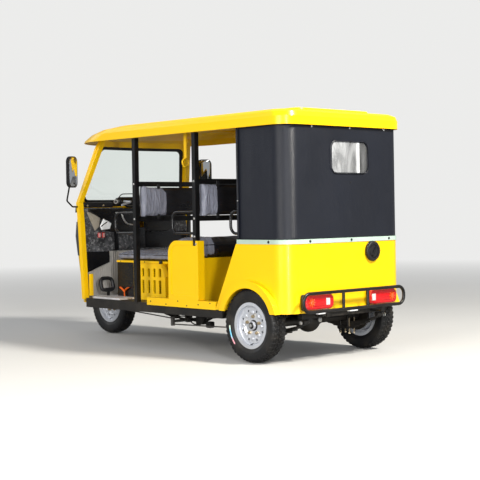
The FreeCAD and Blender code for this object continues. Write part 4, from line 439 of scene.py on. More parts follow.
def make_finishes(colours):
    """Every material, by the plain name that the pieces use."""
    dust = colours.dust[:]
    FINISHES["body"] = gloss_paint("body_paint", colours.body[:], dust)
    FINISHES["black"] = satin_paint("black_frame_paint", colours.frame[:], dust, 0.34, 0.06)
    FINISHES["chassis"] = satin_paint("chassis_paint", colours.chassis[:], dust, 0.5, 0.13)
    FINISHES["engine"] = bare_metal("cast_engine", (0.20, 0.20, 0.21), 0.5, dust, 0.25)
    FINISHES["steel"] = bare_metal("dull_steel", (0.22, 0.21, 0.20), 0.42, dust, 0.2)
    FINISHES["zinc"] = bare_metal("bright_zinc", (0.72, 0.72, 0.70), 0.28, dust, 0.1)
    FINISHES["brass"] = bare_metal("brass_nuts", (0.66, 0.54, 0.36), 0.3, dust, 0.15)
    FINISHES["rim"] = silver_paint("wheel_silver", colours.rim[:], dust)
    FINISHES["tyre"] = tyre_rubber("tyre_rubber", colours.rubber[:], dust)
    FINISHES["rubber"] = plain_rubber("gasket_rubber", colours.rubber[:])
    FINISHES["plastic"] = moulded_plastic("black_plastic", tone(22, 22, 24), 260.0, 0.42)
    FINISHES["gloss_plastic"] = moulded_plastic("gloss_black_plastic", tone(14, 14, 16), 900.0, 0.2)
    FINISHES["grey"] = moulded_plastic("grey_plastic", tone(46, 48, 52), 240.0, 0.4)
    FINISHES["lining"] = moulded_plastic("grey_lining", tone(158, 155, 150), 300.0, 0.4)
    FINISHES["marble"] = marbled_board("marbled_board")
    FINISHES["vinyl"] = seat_vinyl("seat_vinyl", colours.vinyl[:])
    FINISHES["curtain"] = curtain_vinyl("curtain_vinyl", colours.curtain[:])
    FINISHES["wrap"] = clear_film("seat_wrap", colours.wrap[:], 0.62, 0.012)
    FINISHES["film"] = window_film("window_film", tone(226, 228, 230))
    FINISHES["glass"] = window_glass("windscreen_glass")
    FINISHES["trim"] = moulded_plastic("mint_trim", colours.trim[:], 500.0, 0.36)
    FINISHES["mat"] = ribbed_mat("mat_rubber", colours.mat[:], dust)
    FINISHES["red"] = lens_plastic("red_lens", colours.red_lens[:], 60.0)
    FINISHES["orange"] = lens_plastic("orange_lens", colours.orange_lens[:], 80.0, "Y")
    FINISHES["white_lens"] = lens_plastic("white_lens", tone(240, 240, 238), 70.0, "Y")
    FINISHES["clear_lens"] = clear_film("clear_lens", tone(238, 242, 245), 0.25, 0.0008)
    FINISHES["white"] = moulded_plastic("white_plastic", tone(232, 234, 236), 700.0, 0.18)
    FINISHES["beige"] = moulded_plastic("beige_board", tone(150, 143, 130), 300.0, 0.3)
    FINISHES["orange_plastic"] = moulded_plastic("orange_plastic", tone(232, 100, 22), 300.0, 0.4)
    FINISHES["pink_lens"] = lens_plastic("pink_lens", tone(250, 196, 192), 300.0)
    FINISHES["label"] = tyre_label("tyre_label")
    FINISHES["mirror"] = silver_mirror("mirror_glass")
    FINISHES["webbing"] = woven_strap("strap_webbing", colours.webbing[:])


def silver_mirror(name):
    """Mirror glass, faintly uneven."""
    finish = Finish(name)
    finish.bump(finish.noise(3.0, 1.0), 0.0006)
    tint = finish.mix(finish.noise(4.0), (0.80, 0.81, 0.82), (0.86, 0.87, 0.88))
    return finish.done(tint, finish.span(finish.noise(8.0), 0.3, 0.7, 0.02, 0.06), metallic=1.0)


# Angle, in radians, above which an edge stays sharp, and one that leaves no edge sharp
CREASE = 0.6
ALL_SMOOTH = 3.0


def piece(name, mesh, finish, body, replaces=(), angle=CREASE):
    """Named mesh that rides on a body, with its finish."""
    mesh.materials.clear()
    mesh.materials.append(FINISHES[finish])
    mesh.shade_smooth()
    mesh.set_sharp_from_angle(angle=angle)
    made = link(bpy.data.objects.new(name, mesh))
    mesh.name = name
    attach(made, body)
    if replaces:
        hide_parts(*replaces)
    return made


class Shop:
    """Mesh under construction, from simple worked forms."""

    def __init__(self):
        self.bm = bmesh.new()

    def block(self, centre, size, bevel=0.002, turn=None, segments=2):
        """Box with rounded edges."""
        made = bmesh.ops.create_cube(self.bm, size=1.0)
        verts = made["verts"]
        spin = turn.to_4x4() if turn else Matrix.Identity(4)
        move = Matrix.Translation(centre) @ spin @ Matrix.Diagonal((*size, 1.0))
        bmesh.ops.transform(self.bm, matrix=move, verts=verts)
        edges = list({edge for vert in verts for edge in vert.link_edges})
        if bevel > 0:
            bmesh.ops.bevel(self.bm, geom=edges, offset=bevel, segments=segments, affect="EDGES", profile=0.5)
        return self

    def lathe(self, profile, centre, axis, segments=32, closed=False):
        """Profile of (along, radius) pairs turned about an axis through centre."""
        axis = Vector(axis).normalized()
        side = axis.orthogonal().normalized()
        other = axis.cross(side)
        rings = []
        for along, radius in profile:
            if radius < 1e-6:
                rings.append([self.bm.verts.new(centre + axis * along)])
                continue
            ring = []
            for i in range(segments):
                angle = 2 * math.pi * i / segments
                out = side * math.cos(angle) + other * math.sin(angle)
                ring.append(self.bm.verts.new(centre + axis * along + out * radius))
            rings.append(ring)
        pairs = list(zip(rings, rings[1:]))
        if closed:
            pairs.append((rings[-1], rings[0]))
        for low, high in pairs:
            for i in range(segments):
                j = (i + 1) % segments
                if len(low) == 1:
                    self.bm.faces.new((low[0], high[j], high[i]))
                elif len(high) == 1:
                    self.bm.faces.new((low[i], low[j], high[0]))
                else:
                    self.bm.faces.new((low[i], low[j], high[j], high[i]))
        return self

    def sweep(self, points, radius, closed=False, segments=10, flat=None):
        """Round or flat bar along points; flat gives half width and half thickness."""
        count = len(points)
        rings = []
        normal = None
        for i, point in enumerate(points):
            before = points[i - 1] if closed or i else points[0]
            after = points[(i + 1) % count] if closed or i < count - 1 else points[-1]
            tangent = (after - before).normalized()
            if normal is None:
                normal = tangent.orthogonal().normalized()
                if abs(tangent.z) < 0.9:
                    normal = (UP - tangent * tangent.dot(UP)).normalized()
            normal = (normal - tangent * normal.dot(tangent)).normalized()
            other = tangent.cross(normal)
            a, b = flat if flat else (radius, radius)
            ring = []
            for j in range(segments):
                angle = 2 * math.pi * j / segments
                across = other * (a * math.cos(angle))
                upwards = normal * (b * math.sin(angle))
                ring.append(self.bm.verts.new(point + across + upwards))
            rings.append(ring)
        pairs = list(zip(rings, rings[1:]))
        if closed:
            pairs.append((rings[-1], rings[0]))
        for low, high in pairs:
            for j in range(segments):
                k = (j + 1) % segments
                self.bm.faces.new((low[j], low[k], high[k], high[j]))
        if not closed:
            self.bm.faces.new(rings[0][::-1])
            self.bm.faces.new(rings[-1])
        return self

    def plate(self, outline, rear, front, bevel=0.002):
        """Flat shape set across the vehicle: (y, z) outline between two stations, softened at the rear."""
        back = [self.bm.verts.new((rear, y, z)) for y, z in outline]
        fore = [self.bm.verts.new((front, y, z)) for y, z in outline]
        face = self.bm.faces.new(back)
        self.bm.faces.new(fore[::-1])
        for i in range(len(outline)):
            j = (i + 1) % len(outline)
            self.bm.faces.new((back[j], back[i], fore[i], fore[j]))
        bmesh.ops.bevel(self.bm, geom=list(face.edges), offset=bevel, segments=2, affect="EDGES", profile=0.5)
        return self

    def loft(self, rings):
        """Closed solid through rings of points that match one for one."""
        loops = [[self.bm.verts.new(point) for point in ring] for ring in rings]
        for a, b in zip(loops, loops[1:]):
            for i in range(len(a)):
                j = (i + 1) % len(a)
                self.bm.faces.new((a[i], a[j], b[j], b[i]))
        self.bm.faces.new(loops[-1])
        self.bm.faces.new(loops[0][::-1])
        return self

    def mesh(self, name):
        """Finished mesh with its faces turned outwards."""
        bmesh.ops.recalc_face_normals(self.bm, faces=self.bm.faces)
        made = bpy.data.meshes.new(name)
        self.bm.to_mesh(made)
        self.bm.free()
        return made


def bent(points, bend=0.02, steps=5):
    """Points of a path with each corner rounded."""
    path = [points[0]]
    for before, here, after in zip(points, points[1:], points[2:]):
        to_before = before - here
        to_after = after - here
        reach = min(bend, to_before.length * 0.45, to_after.length * 0.45)
        start = here + to_before.normalized() * reach
        end = here + to_after.normalized() * reach
        for i in range(steps + 1):
            t = i / steps
            path.append(start * (1 - t) ** 2 + here * (2 * t * (1 - t)) + end * t ** 2)
    path.append(points[-1])
    return path


def node_group(name, inputs):
    """Empty geometry tree with named inputs, and its input and output nodes."""
    tree = bpy.data.node_groups.new(name, "GeometryNodeTree")
    for label, kind in [("Geometry", "NodeSocketGeometry")] + inputs + [("Material", "NodeSocketMaterial")]:
        tree.interface.new_socket(label, in_out="INPUT", socket_type=kind)
    tree.interface.new_socket("Geometry", in_out="OUTPUT", socket_type="NodeSocketGeometry")
    return tree, tree.nodes.new("NodeGroupInput"), tree.nodes.new("NodeGroupOutput")


def finish_group(tree, source, instances, out):
    """Make the copies real, give them their finish and end the tree."""
    real = tree.nodes.new("GeometryNodeRealizeInstances")
    paint = tree.nodes.new("GeometryNodeSetMaterial")
    tree.links.new(instances, real.inputs["Geometry"])
    tree.links.new(real.outputs["Geometry"], paint.inputs["Geometry"])
    tree.links.new(source.outputs["Material"], paint.inputs["Material"])
    tree.links.new(paint.outputs["Geometry"], out.inputs["Geometry"])


def ring_tree():
    """Copies of a mesh set evenly round an axle."""
    tree, source, out = node_group("Round an axle", [
        ("Count", "NodeSocketInt"), ("Centre", "NodeSocketVector"), ("Axis", "NodeSocketVector"),
    ])
    nodes, links = tree.nodes, tree.links
    line = nodes.new("GeometryNodeMeshLine")
    line.inputs["Offset"].default_value = (0, 0, 0)
    index = nodes.new("GeometryNodeInputIndex")
    step = nodes.new("ShaderNodeMath")
    step.operation = "DIVIDE"
    step.inputs[0].default_value = 2 * math.pi
    angle = nodes.new("ShaderNodeMath")
    angle.operation = "MULTIPLY"
    turn = nodes.new("FunctionNodeAxisAngleToRotation")
    place = nodes.new("GeometryNodeInstanceOnPoints")
    links.new(source.outputs["Count"], line.inputs["Count"])
    links.new(source.outputs["Centre"], line.inputs["Start Location"])
    links.new(source.outputs["Count"], step.inputs[1])
    links.new(index.outputs[0], angle.inputs[0])
    links.new(step.outputs[0], angle.inputs[1])
    links.new(source.outputs["Axis"], turn.inputs["Axis"])
    links.new(angle.outputs[0], turn.inputs["Angle"])
    links.new(line.outputs["Mesh"], place.inputs["Points"])
    links.new(source.outputs["Geometry"], place.inputs["Instance"])
    links.new(turn.outputs["Rotation"], place.inputs["Rotation"])
    finish_group(tree, source, place.outputs["Instances"], out)
    return tree


def row_tree():
    """Copies of a mesh set along a straight line."""
    tree, source, out = node_group("Along a line", [
        ("Count", "NodeSocketInt"), ("Start", "NodeSocketVector"), ("Step", "NodeSocketVector"),
    ])
    nodes, links = tree.nodes, tree.links
    line = nodes.new("GeometryNodeMeshLine")
    place = nodes.new("GeometryNodeInstanceOnPoints")
    links.new(source.outputs["Count"], line.inputs["Count"])
    links.new(source.outputs["Start"], line.inputs["Start Location"])
    links.new(source.outputs["Step"], line.inputs["Offset"])
    links.new(line.outputs["Mesh"], place.inputs["Points"])
    links.new(source.outputs["Geometry"], place.inputs["Instance"])
    finish_group(tree, source, place.outputs["Instances"], out)
    return tree


def evaluated(holder):
    """Plain mesh of an object with its modifiers; the object is taken away."""
    depsgraph = bpy.context.evaluated_depsgraph_get()
    made = bpy.data.meshes.new_from_object(holder.evaluated_get(depsgraph))
    bpy.data.objects.remove(holder)
    return made


def grown(name, seed, tree, finish, **inputs):
    """Plain mesh that a tree grows from a seed mesh; inputs are the tree's own, in small letters."""
    holder = link(bpy.data.objects.new(name + "_seed", seed))
    modifier = holder.modifiers.new("grow", "NODES")
    modifier.node_group = tree
    values = {label.capitalize(): value for label, value in inputs.items()}
    values["Material"] = FINISHES[finish]
    for item in tree.interface.items_tree:
        if item.in_out == "INPUT" and item.name in values:
            modifier[item.identifier] = values[item.name]
    return evaluated(holder)


TREES = {}


def round_axle(name, seed, finish, count, centre, axis):
    """Copies of a seed mesh set evenly round an axle."""
    return grown(name, seed, TREES["ring"], finish, count=count, centre=centre, axis=axis)


def screw_seed(radius, axis):
    """Pan-head screw with a dish in its middle, pointing along an axis."""
    profile = [(-0.3 * radius, radius), (0.1 * radius, radius), (0.42 * radius, radius * 0.72),
               (0.5 * radius, radius * 0.3), (0.3 * radius, 0.0)]
    return Shop().lathe(profile, Vector((0, 0, 0)), axis, 12).mesh("screw")


def hex_nut_seed(radius, height, axis):
    """Nut with its stud, pointing along an axis."""
    profile = [(0.0, radius), (height * 0.8, radius), (height, radius * 0.86), (height, radius * 0.5),
               (height * 1.35, radius * 0.5), (height * 1.45, 0.0)]
    return Shop().lathe(profile, Vector((0, 0, 0)), axis, 6).mesh("nut")


def screws(name, places, axis, radius, finish, body):
    """Screw heads at given places, all facing one way."""
    seed = screw_seed(radius, axis)
    heads = bmesh.new()
    for place in places:
        copy = seed.copy()
        copy.transform(Matrix.Translation(place))
        heads.from_mesh(copy)
    mesh = bpy.data.meshes.new(name)
    heads.to_mesh(mesh)
    heads.free()
    piece(name, mesh, finish, body)


# Node and finish, for what keeps its solid's shape
CARRIED = [
    ("chassis_frame", "chassis"), ("steering_head", "chassis"), ("rear_axle", "chassis"),
    ("leaf_springs", "chassis"), ("brake_rods", "steel"), ("engine_block", "engine"),
    ("drive_shaft", "steel"), ("exhaust", "steel"), ("floor_pan", "chassis"), ("floor_mat", "mat"),
    ("sill_panels", "body"), ("nose_shell", "body"), ("nose_band", "grey"), ("front_lamps", "white_lens"),
    ("dash_panel", "marble"), ("dash_cowls", "gloss_plastic"), ("front_lining", "lining"),
    ("windscreen_frame", "body"), ("windscreen_gasket", "rubber"), ("windscreen_glass", "glass"),
    ("roof_shell", "body"), ("roof_bows", "body"), ("posts", "black"), ("driver_seat_box", "body"),
    ("driver_seat_pan", "body"), ("battery_box", "gloss_plastic"), ("bench_box", "body"),
    ("backrest_frames", "black"), ("armrest_loops", "gloss_plastic"), ("side_panels", "body"),
    ("rear_body", "body"), ("rear_bench_box", "body"), ("rear_window", "film"), ("curtain_trim", "trim"),
    ("rear_guard", "black"), ("tail_lamps", "red"), ("fuel_cap", "plastic"), ("mirrors", "gloss_plastic"),
    ("grab_straps", "webbing"), ("foot_controls", "black"), ("front_fork", "chassis"),
    ("handlebar", "black"), ("front_mudguard", "plastic"), ("front_rim", "rim"), ("rear_left_rim", "rim"),
    ("rear_right_rim", "rim"),
]


class TRICYCLE_OT_finishes(bpy.types.Operator):
    """Make the materials and paint the frame's own nodes"""

    bl_idname = "tricycle.finishes"
    bl_label = "Finishes"

    def execute(self, context):
        make_finishes(context.scene.tricycle_colours)
        TREES["ring"] = ring_tree()
        TREES["row"] = row_tree()
        for node, finish in CARRIED:
            mesh = NODES[node].data
            mesh.materials.clear()
            mesh.materials.append(FINISHES[finish])
        return {"FINISHED"}


# Wheels: name of the body, prefix of its nodes, side that the disc faces
WHEELS = [
    ("front_wheel", "front", 1),
    ("rear_left_wheel", "rear_left", 1),
    ("rear_right_wheel", "rear_right", -1),
]
TYRE_RADIUS = 0.275


def carcass_profile(lug_height):
    """Half of the tyre's section, from the bead to the crown: distance from the middle, radius."""
    crown = TYRE_RADIUS - lug_height
    return [
        (0.0497, 0.1530), (0.0497, 0.1700), (0.0520, 0.1770), (0.0585, 0.1880), (0.0630, 0.1980),
        (0.0642, 0.2020), (0.0640, 0.2050), (0.0655, 0.2120), (0.0672, 0.2220), (0.0675, 0.2310),
        (0.0662, 0.2400), (0.0668, 0.2430), (0.0645, 0.2500), (0.0600, crown - 0.0080),
        (0.0520, crown - 0.0030), (0.0340, crown), (0.0, crown + 0.0008),
    ]


def tread_pitch(lug_height, pitch):
    """One row of tread blocks across the tyre: staggered centre blocks and angled shoulder lugs."""
    top = TYRE_RADIUS - lug_height / 2 - 0.0006
    shop = Shop()
    # Middle of the block across, shift round the tyre, width, length, twist
    for y, shift, width, length, twist in (
        (0.0, 0.0, 0.017, 0.60, 0.35), (0.0225, 0.5, 0.019, 0.62, -0.30), (-0.0225, 0.5, 0.019, 0.62, -0.30),
        (0.0445, 0.05, 0.019, 0.58, 0.22), (-0.0445, 0.05, 0.019, 0.58, 0.22),
    ):
        drop = 0.0012 + 3.2 * y * y
        turn = Matrix.Rotation(twist, 3, "Z")
        place = Vector((pitch * shift, y, top - drop))
        shop.block(place, (pitch * length, width, lug_height), 0.0016, turn, 1)
    for side in (-1, 1):
        turn = Matrix.Rotation(side * -0.95, 3, "X")
        place = Vector((pitch * 0.05, side * 0.0605, TYRE_RADIUS - 0.0185))
        shop.block(place, (pitch * 0.5, 0.017, lug_height * 0.8), 0.0014, turn, 1)
    return shop.mesh("tread_pitch")


class TRICYCLE_OT_tyres(bpy.types.Operator):
    """Tyres with blocky tread over the solid rings"""

    bl_idname = "tricycle.tyres"
    bl_label = "Tyres"

    def execute(self, context):
        sizes = context.scene.tricycle_sizes
        half = carcass_profile(sizes.lug_height)
        profile = half + [(-y, r) for y, r in half[-2::-1]]
        pitch = 2 * math.pi * TYRE_RADIUS / sizes.lug_count
        for body, prefix, _ in WHEELS:
            centre = middle(prefix + "_tyre")
            shell = Shop().lathe(profile, centre, ACROSS, 96, closed=True).mesh("tyre")
            piece(prefix + "_tyre_carcass", shell, "tyre", body, [prefix + "_tyre"], 0.9)
            blocks = tread_pitch(sizes.lug_height, pitch)
            tread = round_axle("tread", blocks, "tyre", sizes.lug_count, centre, ACROSS)
            piece(prefix + "_tyre_tread", tread, "tyre", body)
        return {"FINISHED"}


# Radii of the circles that the wheel nuts and the rim's bosses stand on
NUT_CIRCLE = 0.066
BOSS_CIRCLE = 0.097
# How far out a rim's face is looked at from
LOOK = 0.2


def search_tree(mesh):
    """Tree of a mesh's faces, to look for the nearest or the first hit."""
    corners = [vert.co for vert in mesh.vertices]
    return BVHTree.FromPolygons(corners, [face.vertices for face in mesh.polygons])


def face_of(node, start, direction):
    """Distance along a direction from a start point to a node's surface."""
    place, normal, index, distance = search_tree(NODES[node].data).ray_cast(start, direction)
    return distance


def rim_face(prefix, centre, axis, radius):
    """Distance of a rim's face from its middle, at a radius."""
    return LOOK - face_of(prefix + "_rim", centre + axis * LOOK + UP * radius, -axis)


def wheel_nuts(body, prefix, centre, axis):
    """Five nuts on their studs."""
    nut = hex_nut_seed(0.0130, 0.016, axis)
    nut.transform(Matrix.Translation(UP * NUT_CIRCLE))
    foot = centre + axis * rim_face(prefix, centre, axis, NUT_CIRCLE)
    nuts = round_axle("nuts", nut, "brass", 5, foot, ACROSS)
    piece(prefix + "_wheel_nuts", nuts, "brass", body)


def rim_bosses(body, prefix, centre, axis):
    """Eight round bosses pressed in the disc, sunk a little into its face."""
    profile = [(0.0, 0.0155), (0.004, 0.0150), (0.008, 0.0120), (0.0105, 0.0070), (0.0115, 0.0)]
    boss = Shop().lathe(profile, Vector((0, 0, 0)), axis, 20).mesh("boss")
    boss.transform(Matrix.Translation(UP * BOSS_CIRCLE))
    foot = centre + axis * (rim_face(prefix, centre, axis, BOSS_CIRCLE) - 0.002)
    bosses = round_axle("bosses", boss, "rim", 8, foot, ACROSS)
    piece(prefix + "_rim_bosses", bosses, "rim", body)


def hub_cap(body, prefix, centre, axis):
    """Black cap over the hub and the spindle's nut in its middle."""
    profile = [(0.0, 0.041), (0.010, 0.040), (0.016, 0.034), (0.019, 0.026), (0.034, 0.025), (0.038, 0.020),
               (0.039, 0.0)]
    cap = Shop().lathe(profile, centre + axis * 0.016, axis, 32)
    piece(prefix + "_hub_cap", cap.mesh("cap"), "plastic", body)
    profile = [(0.0, 0.014), (0.008, 0.014), (0.010, 0.012), (0.010, 0.007), (0.014, 0.006), (0.015, 0.0)]
    spindle = Shop().lathe(profile, centre + axis * 0.050, axis, 6)
    piece(prefix + "_spindle_nut", spindle.mesh("spindle"), "zinc", body)


def tyre_valve(body, prefix, centre, side):
    """Bent rubber valve below the hub."""
    # Distance outwards from the wheel's middle, height above it
    route = [Vector((0.0, side * out, height))
             for out, height in ((0.020, -0.128), (0.034, -0.134), (0.056, -0.141))]
    valve = Shop().sweep(bent([centre + point for point in route], 0.008), 0.0038, segments=8)
    piece(prefix + "_valve", valve.mesh("valve"), "rubber", body)


def tyre_mark(centre):
    """Coloured mark moulded along the sidewall, ahead of the axle and below it."""
    radius = 0.2095
    outside = 0.0652
    steps = 16
    arc = []
    for i in range(steps + 1):
        turn = math.radians(-2 - 41 * i / steps)
        arc.append(centre + Vector((radius * math.cos(turn), outside, radius * math.sin(turn))))
    mark = Shop().sweep(arc, 0.0, segments=8, flat=(0.0022, 0.0062))
    piece("rear_left_tyre_mark", mark.mesh("mark"), "label", "rear_left_wheel")


class TRICYCLE_OT_wheel_fittings(bpy.types.Operator):
    """Nuts, hub caps, bosses, valves and the coloured mark on the sidewall"""

    bl_idname = "tricycle.wheel_fittings"
    bl_label = "Wheel fittings"

    def execute(self, context):
        for body, prefix, side in WHEELS:
            centre = middle(prefix + "_rim")
            axis = ACROSS * side
            wheel_nuts(body, prefix, centre, axis)
            rim_bosses(body, prefix, centre, axis)
            hub_cap(body, prefix, centre, axis)
            tyre_valve(body, prefix, centre, side)
        tyre_mark(middle("rear_left_tyre"))
        return {"FINISHED"}


def linked_groups(bm):
    """Corners of a mesh in groups that hang together."""
    left = set(bm.verts)
    groups = []
    while left:
        stack = [left.pop()]
        group = []
        while stack:
            vert = stack.pop()
            group.append(vert)
            for edge in vert.link_edges:
                other = edge.other_vert(vert)
                if other in left:
                    left.discard(other)
                    stack.append(other)
        groups.append(group)
    return groups


def solid_parts(node):
    """Boxes of a node's separate bodies, in order of station."""
    bm = bmesh.new()
    bm.from_mesh(NODES[node].data)
    bmesh.ops.remove_doubles(bm, verts=bm.verts, dist=1e-5)
    parts = []
    for group in linked_groups(bm):
        points = [vert.co for vert in group]
        low = Vector([min(point[i] for point in points) for i in range(3)])
        high = Vector([max(point[i] for point in points) for i in range(3)])
        parts.append((low, high))
    bm.free()
    return sorted(parts, key=lambda part: part[0].x)


def rounded_slab(low, high, shrink, voxel):
    """Voxel mesh of a padded block a little smaller than its space."""
    size = high - low
    inner = Vector([max(value - 2 * shrink, value * 0.4) for value in size])
    edge = min(inner) * 0.36
    mesh = Shop().block((low + high) / 2, inner, edge, segments=4).mesh("slab")
    holder = link(bpy.data.objects.new("slab", mesh))
    remesh = holder.modifiers.new("grain", "REMESH")
    remesh.mode = "VOXEL"
    remesh.voxel_size = voxel
    return evaluated(holder)


def stuff(mesh, swell):
    """Blow the skin up with a cloth run, no point further than swell, and hand over the mesh."""
    frames = 20
    holder = link(bpy.data.objects.new("stuffing", mesh))
    start = [vert.co.copy() for vert in mesh.vertices]
    cloth = holder.modifiers.new("stuffing", "CLOTH")
    cloth.settings.quality = 4
    cloth.settings.mass = 0.3
    cloth.settings.tension_stiffness = 12
    cloth.settings.compression_stiffness = 12
    cloth.settings.shear_stiffness = 6
    cloth.settings.bending_stiffness = 0.6
    cloth.settings.use_pressure = True
    cloth.settings.uniform_pressure_force = 4
    cloth.settings.effector_weights.gravity = 0
    cloth.point_cache.frame_start = 1
    cloth.point_cache.frame_end = frames
    for frame_number in range(1, frames + 1):
        bpy.context.scene.frame_set(frame_number)
    blown = evaluated(holder)
    bpy.context.scene.frame_set(1)
    for vert, rest in zip(blown.vertices, start):
        move = vert.co - rest
        if move.length > swell:
            vert.co = rest + move.normalized() * swell
    return blown


def subdivided(mesh):
    """Mesh with one smooth subdivision."""
    holder = link(bpy.data.objects.new("smoothing", mesh))
    surface = holder.modifiers.new("smoothing", "SUBSURF")
    surface.levels = 1
    surface.render_levels = 1
    return evaluated(holder)


def rounded_outline(low, high, inset, corner, count):
    """Points round a rounded rectangle, given by the first two values of its corners."""
    points = []
    a = Vector((low.x + inset + corner, low.y + inset + corner))
    b = Vector((high.x - inset - corner, high.y - inset - corner))
    corners = [(b.x, b.y, 0.0), (a.x, b.y, 90.0), (a.x, a.y, 180.0), (b.x, a.y, 270.0)]
    for i, (x, y, turn) in enumerate(corners):
        for j in range(count):
            angle = math.radians(turn + 90.0 * j / (count - 1))
            points.append(Vector((x + corner * math.cos(angle), y + corner * math.sin(angle))))
        next_x, next_y, next_turn = corners[(i + 1) % 4]
        angle = math.radians(next_turn)
        end = Vector((next_x + corner * math.cos(angle), next_y + corner * math.sin(angle)))
        start = points[-1]
        steps = max(2, int((end - start).length / 0.03))
        points += [start.lerp(end, k / steps) for k in range(1, steps)]
    return points


def sit_down(skin, bottom, level):
    """Squash a cushion until its top comes down to a level."""
    top = max(vert.co.z for vert in skin.vertices)
    for vert in skin.vertices:
        vert.co.z = bottom + (vert.co.z - bottom) * (level - bottom) / (top - bottom)


def crown(skin, low, high):
    """Keep a cushion inside its space, and give its top a low crown and soft waves."""
    middle_x = (low.x + high.x) / 2
    half_x = (high.x - low.x) / 2
    for vert in skin.vertices:
        vert.co.z = max(vert.co.z, low.z)
        vert.co.x = min(max(vert.co.x, low.x + 0.001), high.x - 0.001)
        vert.co.y = min(max(vert.co.y, low.y + 0.001), high.y - 0.001)
        if vert.co.z > (low.z + high.z) / 2:
            sag = 0.006 * noise.noise(vert.co * 3.1) + 0.0022 * noise.noise(vert.co * 11.0)
            rise = 0.006 * (1 - ((vert.co.x - middle_x) / half_x) ** 2)
            vert.co.z += sag + rise


def crease(skin, level, width, depth, low, high):
    """Pull a cushion's side in along a seam at one height."""
    centre = (low + high) / 2
    for vert in skin.vertices:
        away = abs(vert.co.z - level)
        if away < width:
            pull = depth * (0.5 + 0.5 * math.cos(math.pi * away / width))
            inward = centre - vert.co
            inward.z = 0
            vert.co += inward.normalized() * pull


def welt(name, mesh, outline, radius):
    """Piping laid on the skin along an outline, by dropping each point onto the nearest skin."""
    tree = search_tree(mesh)
    path = []
    for point in outline:
        place, normal, index, distance = tree.find_nearest(point)
        path.append(place + normal * (radius * 0.35))
    piping = Shop().sweep(path, radius, closed=True, segments=8)
    piece(name, piping.mesh(name), "vinyl", "chassis")


# Seat cushions: node, height of the seam below the top, how far the top sits below its space's top
SEATS = [
    ("driver_cushion", 0.022, 0.020),
    ("bench_cushion", 0.026, None),
    ("rear_bench_cushion", 0.026, None),
]


class TRICYCLE_OT_seats(bpy.types.Operator):
    """Stuffed seat cushions with piping"""

    bl_idname = "tricycle.seats"
    bl_label = "Seat cushions"

    def execute(self, context):
        sizes = context.scene.tricycle_sizes
        for node, seam, sunk in SEATS:
            low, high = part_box(node)
            skin = stuff(rounded_slab(low, high, 0.010, sizes.seat_voxel), sizes.seat_swell)
            if sunk is not None:
                sit_down(skin, low.z, high.z - sunk)
            crown(skin, low, high)
            crease(skin, high.z - seam, 0.016, 0.004, low, high)
            skin = subdivided(skin)
            made = piece(node + "_cover", skin, "vinyl", "chassis", [node], ALL_SMOOTH)
            plan = rounded_outline(low, high, 0.0, 0.05, 6)
            outline = [Vector((point.x, point.y, high.z - seam)) for point in plan]
            welt(node + "_piping", skin, outline, sizes.piping)
        return {"FINISHED"}


# How far a pad's stuffing presses into the bars above and below it
PRESS = 0.006


def fill_space(skin, low, high):
    """Stretch a pad to its space's full height, keep it inside and wrinkle its two faces."""
    middle_x = (low.x + high.x) / 2
    levels = [vert.co.z for vert in skin.vertices]
    bottom = min(levels)
    top = max(levels)
    for vert in skin.vertices:
        vert.co.z = low.z + (vert.co.z - bottom) / (top - bottom) * (high.z - low.z)
        for i in range(3):
            vert.co[i] = min(max(vert.co[i], low[i] + 0.0005), high[i] - 0.0005)
        wrinkle = 0.0035 * noise.noise(Vector((vert.co.x * 2, vert.co.y * 7.0, vert.co.z * 3.0)))
        vert.co.x += wrinkle * (1 if vert.co.x > middle_x else -1)


class TRICYCLE_OT_backrests(bpy.types.Operator):
    """Stuffed backrests between the bars, and the rear row's"""

    bl_idname = "tricycle.backrests"
    bl_label = "Backrests"

    def execute(self, context):
        sizes = context.scene.tricycle_sizes
        pads = solid_parts("backrest_pads")
        rear = solid_parts("rear_bench_backrest")
        # Name of the cover, its space, node that it stands for, how far it presses into bars
        rows = [
            ("middle_back_cover", pads[0], "backrest_pads", PRESS),
            ("driver_back_cover", pads[1], "backrest_pads", PRESS),
            ("rear_back_cover", rear[0], "rear_bench_backrest", 0.0),
        ]
        for name, (low, high), node, press in rows:
            low = low - UP * press
            high = high + UP * press
            skin = stuff(rounded_slab(low, high, 0.008, sizes.pad_voxel), sizes.pad_swell)
            fill_space(skin, low, high)
            skin = subdivided(skin)
            made = piece(name, skin, "vinyl", "chassis", [node], ALL_SMOOTH)
        return {"FINISHED"}


# Film on the seats: how far it lies off the cover, height of its crinkles, how fine they are along X, Y and Z
FILM_LIFT = 0.0025
FILM_CRINKLE = 0.004
FILM_GRAIN = (16.0, 30.0, 9.0)
# How far above a cushion's underside its film ends
FILM_EDGE = 0.012


def film_skin(cover, keep):
    """Crinkled sheet lifted off part of a cover's skin, with keep telling which faces stay."""
    bm = bmesh.new()
    bm.from_mesh(bpy.data.objects[cover].data)
    bm.normal_update()
    drop = [face for face in bm.faces if not keep(face.calc_center_median(), face.normal)]
    bmesh.ops.delete(bm, geom=drop, context="FACES")
    bm.normal_update()
    for vert in bm.verts:
        place = Vector([value * grain for value, grain in zip(vert.co, FILM_GRAIN)])
        ridge = 1.0 - abs(noise.noise(place)) * 2.0
        vert.co += vert.normal * (FILM_LIFT + FILM_CRINKLE * max(ridge, 0.0) ** 3)
    mesh = bpy.data.meshes.new("skin")
    bm.to_mesh(mesh)
    bm.free()
    return mesh


def wrap(name, cover, keep, width):
    """Film left on the upholstery; width, the size that it was cut to, is not used."""
    mesh = film_skin(cover, keep)
    made = piece(name, mesh, "wrap", "chassis", (), ALL_SMOOTH)


